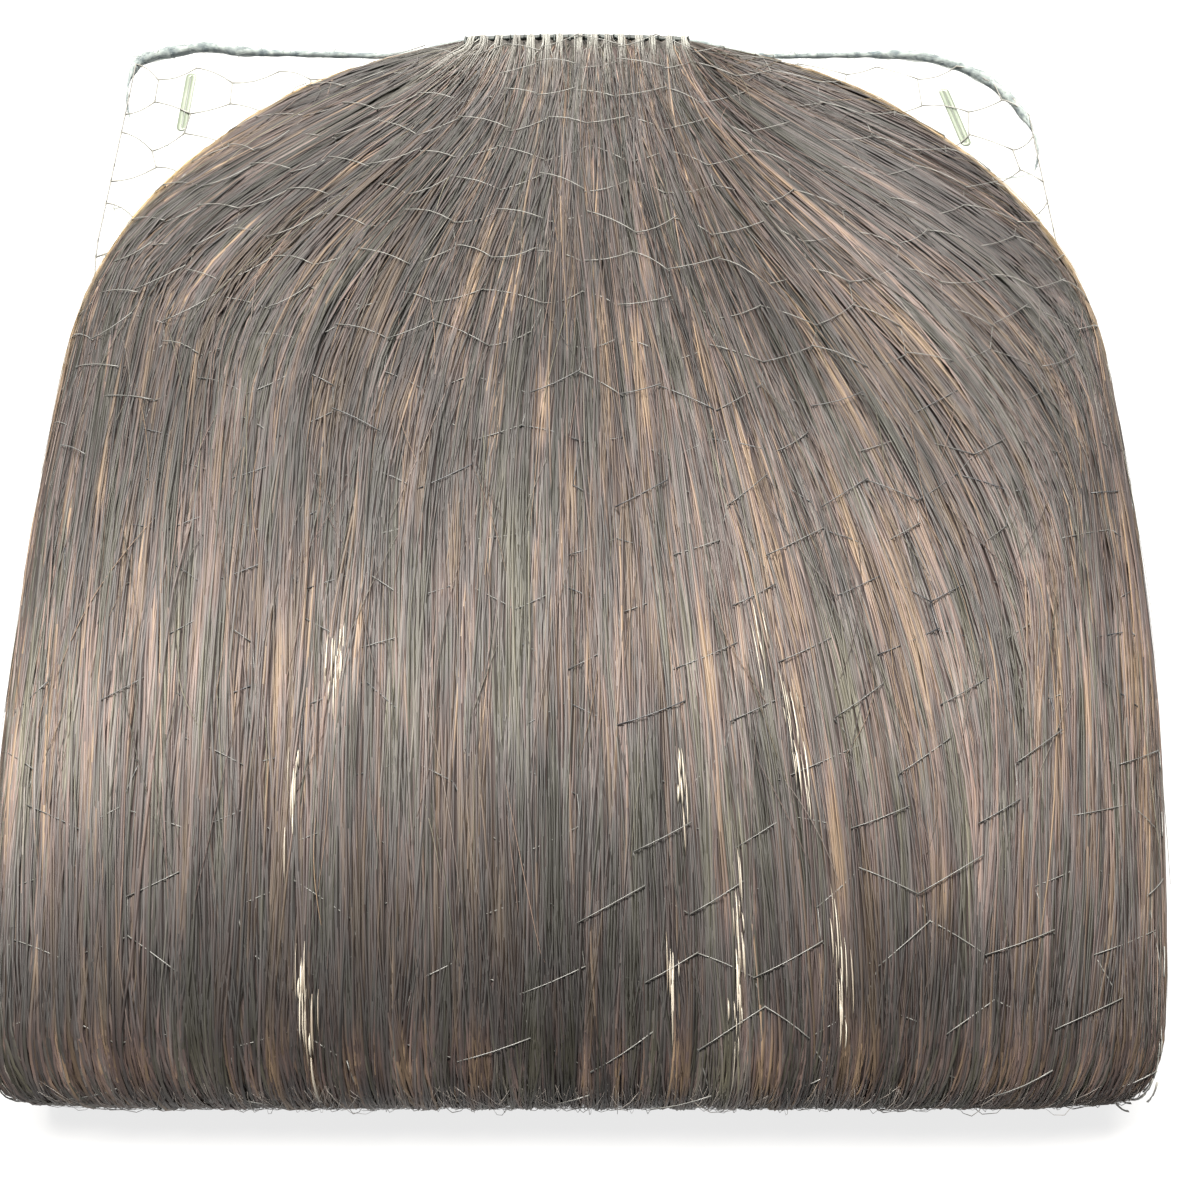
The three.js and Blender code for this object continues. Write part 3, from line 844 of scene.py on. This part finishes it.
def hair_wisps():
    """Hairs that cross the others on top."""
    lane, pace = strand_seeds(WISPS)
    pace = np.minimum(pace, rng.uniform(0, WISP_END, WISPS))
    share = shares(WISP_STEPS)
    run = even(WISP_RUN, WISPS)
    middle = np.maximum(pace[:, None], PACE_MARKS[0] + run / 2)
    along = np.interp(middle + run * (share - 0.5), PACE_MARKS, ALONG_MARKS)
    drift = bell(WISP_DRIFT, WISPS)
    bow = bell(WISP_BOW, WISPS) * np.sin(np.pi * share)
    lift = even(WISP_LIFT, WISPS) * np.sin(np.pi * share) ** 0.6 - WISP_SINK
    across = np.clip(lane[:, None] + drift * (share - 0.5) + bow, -1, 1)
    shade = np.clip(rng.normal(*WISP_SHADE, WISPS), 0, 1)
    loose_piece("hair_wisps", across, along, lift, rng.uniform(*WISP_RADIUS, WISPS), shade)


def edge_fuzz():
    """Fine hairs that stand off the sides."""
    share = shares(FUZZ_STEPS)
    side = rng.choice([-1, 1], FUZZ_SIDES)
    first = even(FUZZ_START, FUZZ_SIDES)
    run = even(FUZZ_RUN, FUZZ_SIDES)
    out = rng.exponential(FUZZ_OUT, FUZZ_SIDES)[:, None] * share**1.6
    lane = side[:, None] * (even(FUZZ_LANES, FUZZ_SIDES) + out)
    along = first + run * share
    lift = rng.normal(*FUZZ_LIFT, FUZZ_SIDES)[:, None] * share
    shade = np.clip(rng.normal(*FUZZ_SHADE, FUZZ_SIDES), 0, 1)
    loose_piece("hair_fuzz", lane, along, lift, rng.uniform(*FUZZ_RADIUS, FUZZ_SIDES), shade)


def side_strands():
    """Hairs on the thin sides of the hair, between the card and its upper surface."""
    lane = rng.choice([-1, 1], SIDE_HAIRS) * rng.uniform(*SIDE_LANES, SIDE_HAIRS)
    share = shares(SIDE_STEPS)
    first = even((SIDE_START, PACE_MARKS[-1] - SIDE_RUN), SIDE_HAIRS)
    along = np.interp(first + SIDE_RUN * share, PACE_MARKS, ALONG_MARKS)
    depth, turn, back = stations(along)
    under = mix(inner_reach(depth), INNER_REACH, turn / np.pi)
    level = even((0, 1), SIDE_HAIRS) + bell(SIDE_SLANT, SIDE_HAIRS) * (share - 0.5)
    lift = -np.clip(level, 0, 1) * (hair_reach(1, depth, turn, back) - under)
    shade = np.clip(rng.normal(*SIDE_SHADE, SIDE_HAIRS), 0, 1)
    radius = rng.uniform(*SIDE_RADIUS, SIDE_HAIRS)
    loose_piece("hair_sides", lane[:, None], along, lift, radius, shade)


def roll_fuzz():
    """Fine hairs that stand off the lower edge of the roll. Their pale colour is painted light on hairs that
    face away from the lamps.
    """
    share = shares(FLUFF_STEPS)
    lane = even((-FLUFF_LANE, FLUFF_LANE), FLUFF) + bell(FLUFF_LEAN, FLUFF) * share
    along = even(FLUFF_START, FLUFF) + even(FLUFF_RUN, FLUFF) * share
    lift = FLUFF_BASE + rng.exponential(FLUFF_RISE, FLUFF)[:, None] * np.sin(np.pi * share)
    radii = even(FLUFF_RADIUS, FLUFF) * mix(FINE_TIP, 1, np.sin(np.pi * share))
    # Pale colour: painted light
    pale = even((0, 1), FLUFF)
    pale_piece("roll_fuzz", np.clip(lane, -1, 1), along, lift, radii, pale, ROLL_PAINTED_LIGHT)


def lane_at(x, depth):
    """The lane that passes a place at a depth."""
    lanes = np.linspace(-1, 1, 401)
    return np.interp(x, lane_place(lanes, depth, 0, 0), lanes)


def painted_glint_flecks():
    """Short stretches of hair whose pale colour is a painted glint, where they catch the light."""
    spots = np.repeat(np.array(FLECKS, float), FLECK_HAIRS, axis=0)
    count = len(spots)
    share = shares(FLECK_STEPS)
    depth = spots[:, 1] + rng.normal(0, FLECK_SPREAD, count)
    lane = np.array([lane_at(x, min(d, CARD_END)) for x, d in zip(spots[:, 0], depth)])
    lane = lane[:, None] + bell(FLECK_ASIDE, count) + bell(FLECK_LEAN, count) * share
    along = depth[:, None] + even(FLECK_RUN, count) * (share - 0.5)
    lift = FLECK_RISE * np.sin(np.pi * share) ** 0.4 + FLECK_BASE
    radii = even(FLECK_RADIUS, count) * mix(FINE_TIP, 1, np.sin(np.pi * share))
    # Pale colour: painted glints
    pale = rng.beta(*FLECK_GLINT, count)[:, None]
    pale_piece("hair_painted_glints", lane, along, lift, radii, pale, PAINTED_GLINT)


# Weft: bundles of hair sewn over the band, pale near its top with a painted highlight where they bend over
# it, with dark thread between them
BUNDLE_HAIRS = 20
BUNDLE_HALF = 0.36
BUNDLE_STEPS = 12
BUNDLE_STRAY = 0.16
BUNDLE_LEAN = 0.02
BUNDLE_LEAN_MOST = 0.12
BUNDLE_END = (8, 26)
BUNDLE_LIFT = (0, 0.5)
BUNDLE_RADIUS = (0.08, 0.14)
BUNDLE_HIGHLIGHT = (0.35, 1)
BUNDLE_FADE_END = (4, 14)
BUNDLE_PALE = (0.15, 0.12)
STITCH_SPREAD = 0.97
STITCH_FRONT = (0.8, 2.2)
STITCH_BACK = -1.05
STITCH_SLANT = 0.35
STITCH_LIFT = 0.22
STITCH_STEPS = 9
STITCH_RADIUS = 0.2
CORE_RADIUS = 0.5


def weft_bundles():
    count = BAND_RIBS * BUNDLE_HAIRS
    ribs = np.arange(BAND_RIBS) + rng.normal(0, BUNDLE_STRAY, BAND_RIBS)
    rib = np.repeat(ribs, BUNDLE_HAIRS) - (BAND_RIBS - 1) / 2
    start_x = (rib + rng.normal(0, BUNDLE_HALF / 2, count)) * RIB_PITCH
    share = shares(BUNDLE_STEPS) ** 1.5
    lean = np.clip(rng.standard_t(2, count)[:, None] * BUNDLE_LEAN, -BUNDLE_LEAN_MOST, BUNDLE_LEAN_MOST)
    lane = np.array([lane_at(x, 0.5) for x in start_x])[:, None] + lean * share
    along = mix(BAND_BACK, even(BUNDLE_END, count), share)
    lift = even(BUNDLE_LIFT, count) * (1 - 0.5 * share) - STRAND_TUCK * ease(share, 0.75, 1)
    radii = even(BUNDLE_RADIUS, count) * mix(1, 0.5, share)
    # Pale near the top: painted highlight where the hair bends over the weft
    painted_highlight = np.repeat(rng.uniform(*BUNDLE_HIGHLIGHT, BAND_RIBS), BUNDLE_HAIRS)[:, None]
    fade = ease(along, 1.5, even(BUNDLE_FADE_END, count))
    pale = painted_highlight * (1 - fade) + rng.normal(*BUNDLE_PALE, count)[:, None]
    pale_piece("weft_bundles", lane, along, lift, radii, np.clip(pale, 0, 1), BUNDLE)


def weft_stitches():
    """A loop of dark thread between every two bundles, and the cord that they are sewn to."""
    x = (np.arange(BAND_RIBS + 1) - BAND_RIBS / 2) * RIB_PITCH * STITCH_SPREAD
    share = shares(STITCH_STEPS)
    depth = mix(even(STITCH_FRONT, len(x)), STITCH_BACK, share)
    loops_x = x[:, None] + bell(STITCH_SLANT, len(x)) * (share - 0.5)
    loops = np.stack([loops_x, -depth, crown_height(loops_x, depth, STITCH_LIFT)], axis=-1)
    joins_x = mix(x[:-1, None], x[1:, None], share)
    joins_depth = 0.2 * np.sin(np.pi * share) - 0.15 + 0 * joins_x
    joins = np.stack([joins_x, -joins_depth, crown_height(joins_x, joins_depth, -CORE_RADIUS)], axis=-1)
    paths = np.concatenate([loops, joins])
    radii = np.full(paths.shape[:2], STITCH_RADIUS)
    radii[len(loops):] = CORE_RADIUS
    make_piece("weft_stitches", tubes(paths, radii, (0.3, 0.4, 1)), STITCH, {})


# Elastic rim of the net: a twisted, fuzzy cord, stretched thin where it goes behind the card
RIM_RADIUS = 0.8
RIM_BEHIND = 3.95
RIM_DIP = 0.2
RIM_FRONT_ROUTE = [
    (-75.3, 2.3), (-72.2, 0.9), (-64.7, -0.9), (-58, 0.1), (-42, 0.9), (-31, 1.05), (-26, -0.2),
    (-22, -1.9), (-17, -2.3), (0, -2.3), (17, -2.3), (22, -1.9), (26, -0.2), (31, 1.05),
    (45, 1), (54, 0.9), (60, 1.5), (66, 3.9), (70.6, 7.6), (74, 12.6), (75.9, 18),
]
RIM_BACK_ROUTE = [(75.4, 26.5), (69, 28), (36, 27), (0, 26), (-36, 25), (-68, 21), (-75.4, 15)]
RIM_ROUTE = [
    *((x, depth, CARD_MIDDLE) for x, depth in RIM_FRONT_ROUTE),
    (76.4, 22.5, CARD_MIDDLE - RIM_DIP),
    *((x, depth, RIM_BEHIND) for x, depth in RIM_BACK_ROUTE),
    (-76.5, 10.5, CARD_MIDDLE - RIM_DIP),
    (-76.5, 6, CARD_MIDDLE),
]
RIM_CURVE_STEPS = 24
RIM_STEPS = 640
RIM_SIDES = 12
RIM_PLIES = 3
RIM_TWIST = 5.5
RIM_SLIM = 0.2
RIM_THIN = 0.62
RIM_THICK = 1.1
RIM_THICKENS = (40, 66)
RIM_SLIMS_LEFT = (2, 8)
RIM_SLIMS_RIGHT = (13, 20)
RIM_LUMPS = [(0.1, 2.3, 0), (0.1, 0.9, 1), (0.08, 5.1, 0)]
FIBRES = 1900
FIBRE_STEPS = 4
FIBRE_LENGTH = (0.2, 0.8)
FIBRE_ROOT = 0.8
FIBRE_STRAY = 0.3
FIBRE_RADIUS = 0.035


def closed_curve(points, steps):
    """An evenly spaced smooth closed curve through points."""
    before, after, later = (np.roll(points, shift, axis=0) for shift in (1, -1, -2))
    gaps = [np.sqrt(np.linalg.norm(b - a, axis=1))[:, None]
            for a, b in ((before, points), (points, after), (after, later))]
    leave = (points - before) / gaps[0] - (after - before) / (gaps[0] + gaps[1]) + (after - points) / gaps[1]
    arrive = (after - points) / gaps[1] - (later - points) / (gaps[1] + gaps[2]) + (later - after) / gaps[2]
    leave, arrive = (leave * gaps[1])[:, None], (arrive * gaps[1])[:, None]
    p, q = points[:, None], after[:, None]
    t = np.linspace(0, 1, RIM_CURVE_STEPS, endpoint=False)[None, :, None]
    square = 3 * (q - p) - 2 * leave - arrive
    cube = 2 * (p - q) + leave + arrive
    curve = p + leave * t + square * t**2 + cube * t**3
    curve = np.concatenate([curve.reshape(-1, 3), points[:1]])
    length = np.concatenate([[0], np.cumsum(np.linalg.norm(np.diff(curve, axis=0), axis=1))])
    at = np.linspace(0, length[-1], steps, endpoint=False)
    return np.stack([np.interp(at, length, curve[:, axis]) for axis in range(3)], axis=1), at


def rim_line():
    route = np.array(RIM_ROUTE, float) * np.array([1, -1, 1])
    middle, at = closed_curve(route, RIM_STEPS)
    left = middle[:, 0] < 0
    slims = (np.where(left, *ends) for ends in zip(RIM_SLIMS_LEFT, RIM_SLIMS_RIGHT))
    slim = ease(-middle[:, 1], *slims)
    thick = mix(RIM_THIN, RIM_THICK, ease(np.abs(middle[:, 0]), *RIM_THICKENS))
    lumps = 1
    for size, length, turn in RIM_LUMPS:
        lumps = lumps + size * np.sin(at / length + turn)
    ahead = np.roll(middle, -1, axis=0) - np.roll(middle, 1, axis=0)
    ahead /= np.linalg.norm(ahead, axis=1, keepdims=True)
    across = np.cross(ahead, [0, 0, 1])
    across /= np.linalg.norm(across, axis=1, keepdims=True)
    radius = RIM_RADIUS * thick * mix(1, RIM_SLIM, slim) * lumps
    return middle, at, radius, ahead, across, np.cross(across, ahead)


def ring_mesh(points, order):
    """Mesh parts of a closed ring of closed rows, with the corners of its faces in an order."""
    rows, sides = points.shape[:2]
    index = np.arange(rows * sides).reshape(rows, sides)
    side = np.roll(index, -1, axis=1)
    next_index, next_side = (np.roll(part, -1, axis=0) for part in (index, side))
    quads = np.stack([index, side, next_side, next_index], axis=-1).reshape(-1, 4)
    row, column = np.divmod(np.arange(index.size), sides)
    low = np.stack([column / sides, row / rows], axis=-1)
    cell = np.array([[0, 0], [1, 0], [1, 1], [0, 1]]) / [sides, rows]
    uv = (low[:, None] + cell[order]).reshape(-1, 2)
    return points.reshape(-1, 3), quads[:, order], np.zeros((0, 3), int), uv


def net_rim():
    middle, at, radius, _, across, above = rim_line()
    angle = 2 * np.pi * np.arange(RIM_SIDES) / RIM_SIDES
    ply = np.cos(RIM_PLIES * angle[None, :] + 2 * np.pi * at[:, None] / RIM_TWIST)
    reach = (radius[:, None] * (0.94 + 0.07 * ply))[..., None]
    around = np.cos(angle)[None, :, None] * across[:, None] - np.sin(angle)[None, :, None] * above[:, None]
    points = middle[:, None] + reach * around
    mesh_parts = ring_mesh(points, [0, 1, 2, 3])
    piece = make_piece("net_elastic", mesh_parts, ELASTIC, {"ply": 0.5 + 0.5 * ply})
    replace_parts(piece, "net_rim")


def rim_fuzz():
    """Short fibres that stand off the elastic."""
    middle, _, radius, ahead, across, above = rim_line()
    at = rng.choice(RIM_STEPS, FIBRES, p=radius / radius.sum())
    angle = rng.uniform(0, 2 * np.pi, FIBRES)[:, None]
    outward = np.cos(angle) * across[at] + np.sin(angle) * above[at]
    share = np.linspace(0, 1, FIBRE_STEPS)[None, :, None]
    length = rng.uniform(*FIBRE_LENGTH, FIBRES)[:, None, None]
    lean = rng.normal(0, 1.0, FIBRES)[:, None, None] * ahead[at][:, None]
    start = (middle[at] + FIBRE_ROOT * radius[at][:, None] * outward)[:, None]
    stray = FIBRE_STRAY * share * rng.normal(0, 1, (FIBRES, 1, 3))
    paths = start + length * share * (outward[:, None] + lean + stray)
    radii = np.full(paths.shape[:2], FIBRE_RADIUS) * np.linspace(1, LOOSE_TIP, FIBRE_STEPS)
    make_piece("net_elastic_fuzz", tubes(paths, radii, (0.3, 0.4, 1)), FUZZ, {})


# Net: rows of wavy thread, each joined to the next by short links
NET_START = 4.8
NET_ROW = 7.6
NET_ROW_STRAY = 0.5
NET_ROW_SWELL = 2.0
NET_HALF_WAVE = 6.5
NET_WAVE_STRAY = 0.7
NET_WAVE_SHIFT = 1.2
NET_SAG = (0.2, 0.9)
NET_SHORTEST = 1
NET_LOWER = (50, 110)
NET_LOWER_CALM = 0.8
NET_RISING_SINK = 0.25
NET_LEFT_SINK = (-30, 25)
NET_KNOT = 1.4
NET_ARCH = 0.1
NET_MARGIN = 0.8
NET_OFF_HAIR = (0.985, 1.02)
NET_BARE_FROM = (0.97, 1.02)
NET_OVER_WEFT = 0.5
NET_PEAK = 1.5
NET_HALF_WAVES = 26
NET_STEPS = 5
NET_RADIUS = 0.075
NET_BARE = 1.5
NET_OVERLAP = 0.015
NET_GREY = 0.73
# Painted shade: the threads are darker over the lit band, at these places along
NET_DIM = (0.3, 1.0)
NET_DIM_MARKS = [60, 95, 132, 150]
NET_DIM_SHARE = [0, 1, 1, 0.15]
NET_LIFT = 0.42
NET_SINK = 0.8
NET_LIFT_SPREAD = 0.3
NET_LINK_LIFT = -0.15
NET_ON_CARD = 0.3
NET_BEHIND_END = 136
CARD_STRAIGHT = 45
CARD_FOOT_HALF = 61
CARD_FOOT_DEPTH = 150
RIM_LEFT = ([0, 1, 2.3, 6], [66, 72, 75.2, 90])
RIM_RIGHT = ([1, 3.9, 7.6, 12.6, 18], [55, 66, 70.6, 74, 90])


def net_limit(along, side):
    """How far out the net reaches before it turns over the edge."""
    depth, turn, back = stations(along)
    level = depth - back
    card_half = np.interp(level, [CARD_STRAIGHT, CARD_FOOT_DEPTH], [CARD_HALF, CARD_FOOT_HALF]) + NET_MARGIN
    front = np.maximum(card_half, outline_half(depth, side) - NET_MARGIN)
    held = np.where(side < 0, np.interp(level, *RIM_LEFT), np.interp(level, *RIM_RIGHT))
    return np.minimum(mix(front, card_half, turn / np.pi), held)


def net_points(x, along, lift):
    depth, turn, back = stations(along)
    share = np.abs(x) / outline_half(depth, x)
    over_hair = hair_reach(np.clip(share, 0, 1), depth, turn, back) + lift
    on_card = CARD_TOP - CARD_MIDDLE + NET_ON_CARD
    off_hair = ease(share, *NET_OFF_HAIR) * (1 - turn / np.pi)
    points = wrap_points(x, depth, turn, back, mix(over_hair, on_card, off_hair))
    on_weft = (1 - ease(np.abs(x), BAND_HALF - 1, BAND_HALF + 4)) * (1 - ease(depth, 2, 6))
    z = np.maximum(points[..., 2], mix(0, BAND_UNDER + CROWN_RISE + NET_OVER_WEFT, on_weft))
    points[..., 2] = np.maximum(z, STRAND_FLOOR)
    return points


def net_threads(first, last, bow, lift):
    """Short bowed threads between pairs of knots, a little too long, so that they cross at the knots."""
    share = shares(NET_STEPS)
    arch = np.sin(np.pi * share)
    span = mix(first[:, None], last[:, None], mix(-NET_OVERLAP, 1 + NET_OVERLAP, share)[..., None])
    x, along = span[..., 0], span[..., 1]
    paths = net_points(x, along + bow[:, None] * arch, lift[:, None] + NET_ARCH * arch)
    bare = ease(np.abs(x) / outline_half(along, x), *NET_BARE_FROM)
    return paths, NET_RADIUS * mix(NET_KNOT, 1, arch**0.5) * mix(1, NET_BARE, bare), bare


def hair_net():
    """Knots in wavy rows, threads along the rows and links between them."""
    row_at = np.arange(NET_START, ROLL_END + NET_BEHIND_END, NET_ROW)
    rows, columns = np.meshgrid(np.arange(len(row_at)), np.arange(NET_HALF_WAVES + 1), indexing="ij")
    wave = np.where((rows + columns) % 2 == 0, NET_PEAK, -NET_PEAK)
    along = row_at[rows] + wave + rng.normal(0, NET_ROW_STRAY, rows.shape)
    along = along + NET_ROW_SWELL * np.sin(columns / 3.1 + rows / 4.7)
    x = (columns - NET_HALF_WAVES / 2) * NET_HALF_WAVE + rng.normal(0, NET_WAVE_STRAY, rows.shape)
    x = x + NET_WAVE_SHIFT * np.sin(rows / 2.9)
    limit = net_limit(along, x)
    knots = np.stack([np.clip(x, -limit, limit), along], axis=-1)
    pairs = (knots[:, :-1].reshape(-1, 2), knots[:, 1:].reshape(-1, 2))
    kept = np.linalg.norm(pairs[1] - pairs[0], axis=1) > NET_SHORTEST
    sag = np.where((rows + columns) % 2 == 0, 1, -1)[:, :-1].ravel() * rng.uniform(*NET_SAG, kept.size)
    lower = ease(pairs[0][:, 1], *NET_LOWER)
    sag = sag * (1 - NET_LOWER_CALM * lower)
    falling = np.where(pairs[1][:, 1] > pairs[0][:, 1], 1, NET_RISING_SINK)
    left = 1 - ease(pairs[0][:, 0], *NET_LEFT_SINK)
    lift = rng.normal(NET_LIFT, NET_LIFT_SPREAD, kept.size) - NET_SINK * lower * np.maximum(falling, left)
    linked = (rows + columns)[:-1] % 2 == 0
    links = (knots[:-1][linked], knots[1:][linked])
    count = len(links[0])
    threads = [
        net_threads(pairs[0][kept], pairs[1][kept], sag[kept], lift[kept]),
        net_threads(*links, np.zeros(count), np.full(count, NET_LINK_LIFT)),
    ]
    paths, radii, bare = (np.concatenate(part) for part in zip(*threads))
    # Threads darker over the lit band across the middle of the hair: painted shade
    dim = even(NET_DIM, len(paths)) * np.interp(-paths[..., 1], NET_DIM_MARKS, NET_DIM_SHARE)
    values = {"pale": per_point(mix(NET_GREY * (1 - dim), 1, bare), radii.shape)}
    make_piece("hair_net", tubes(paths, radii, (0.2, 0.5, 1)), NET, values)


# Slits of the card: a pale bead round each cut edge
SLIT_POINTS = 48
SLIT_BEAD = [(-0.84, -0.05), (-0.05, -0.05), (-0.05, 0.1), (-0.84, 0.1)]


def slit_edge(name, x, depth, tilt):
    angle = 2 * np.pi * np.arange(SLIT_POINTS) / SLIT_POINTS
    straight = (SLIT_LENGTH - SLIT_WIDTH) / 2
    rings = []
    for offset, rise in SLIT_BEAD:
        radius = SLIT_WIDTH / 2 + offset
        across = radius * np.cos(angle)
        ahead = radius * np.sin(angle) + straight * np.sign(np.round(np.sin(angle), 6))
        rings.append(np.stack([
            x + across * math.cos(tilt) + ahead * math.sin(tilt),
            -depth + across * math.sin(tilt) - ahead * math.cos(tilt),
            np.full(SLIT_POINTS, CARD_TOP + rise)], axis=-1))
    points = np.stack(rings, axis=1)
    mesh_parts = ring_mesh(points, [0, 3, 2, 1])
    make_piece(name, mesh_parts, SLIT, {})


def dress_node(name, look):
    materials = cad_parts[name].data.materials
    materials.clear()
    materials.append(look)


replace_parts(hair_body(), "hair")
for number in range(STRAND_PIECES):
    hair_strands(f"hair_strands_{number + 1}")
hair_wisps()
edge_fuzz()
roll_fuzz()
painted_glint_flecks()
weft_bundles()
weft_stitches()
net_rim()
rim_fuzz()
hair_net()
side_strands()
for side, slit in zip(("left", "right"), SLITS):
    slit_edge(f"slit_edge_{side}", *slit)
dress_node("card", card_look())
dress_node("weft_band", WEFT)
dress_node("clip_left", STEEL)
dress_node("clip_right", STEEL)

# Floor, light and camera
VIEW_DEPTH = 184.9
VIEW_HEIGHT = 157.1
VIEW_DROP = 63.5
VIEW_ANGLE = 50
VIEW_SHIFT = 23 / 1200
WARM_WHITE = (1, 0.965, 0.9)
FLOOR_GLOW = 0.78
ROOM_GLOW = 0.24


def floor():
    look = Look("floor_white")
    look.set(Base_Color=look.ramp(look.noise(3), [(0.3, (0.1, 0.1, 0.1)), (0.7, (0.11, 0.11, 0.11))]))
    look.set(Roughness=0.7, Emission_Color=(1, 1, 1, 1), Emission_Strength=FLOOR_GLOW)
    mesh = bpy.data.meshes.new("floor")
    mesh.from_pydata([(-3, -3, 0), (3, -3, 0), (3, 3, 0), (-3, 3, 0)], [], [(0, 1, 2, 3)])
    mesh.materials.append(look.material)
    made = bpy.data.objects.new("floor", mesh)
    bpy.context.scene.collection.objects.link(made)


def area_light(name, place, size, power, colour):
    """A soft light that faces the hair."""
    data = bpy.data.lights.new(name, "AREA")
    data.shape = "RECTANGLE"
    data.size, data.size_y = size
    data.energy = power
    data.color = colour
    made = bpy.data.objects.new(name, data)
    made.location = place
    made.rotation_euler = Vector(place).to_track_quat("Z", "Y").to_euler()
    bpy.context.scene.collection.objects.link(made)


def camera():
    data = bpy.data.cameras.new("camera")
    data.angle = math.radians(VIEW_ANGLE)
    data.shift_x = VIEW_SHIFT
    data.clip_start = 0.01
    made = bpy.data.objects.new("camera", data)
    made.location = to_frame(np.array([0, -VIEW_DEPTH, CARD_TOP + VIEW_HEIGHT]))
    made.rotation_euler = (math.radians(90 - VIEW_DROP), 0, 0)
    bpy.context.scene.collection.objects.link(made)
    bpy.context.scene.camera = made


floor()
area_light("overhead", (-0.07, 0.22, 0.67), (0.6, 0.22), 26, WARM_WHITE)
area_light("window", (0.1, 0.9, 0.42), (0.8, 0.5), 14, WARM_WHITE)
camera()
world = bpy.data.worlds.new("studio")
world.use_nodes = True
room = world.node_tree.nodes["Background"].inputs
room["Color"].default_value = (1, 1, 1, 1)
room["Strength"].default_value = ROOM_GLOW
bpy.context.scene.world = world
bpy.context.scene.view_settings.view_transform = "Standard"
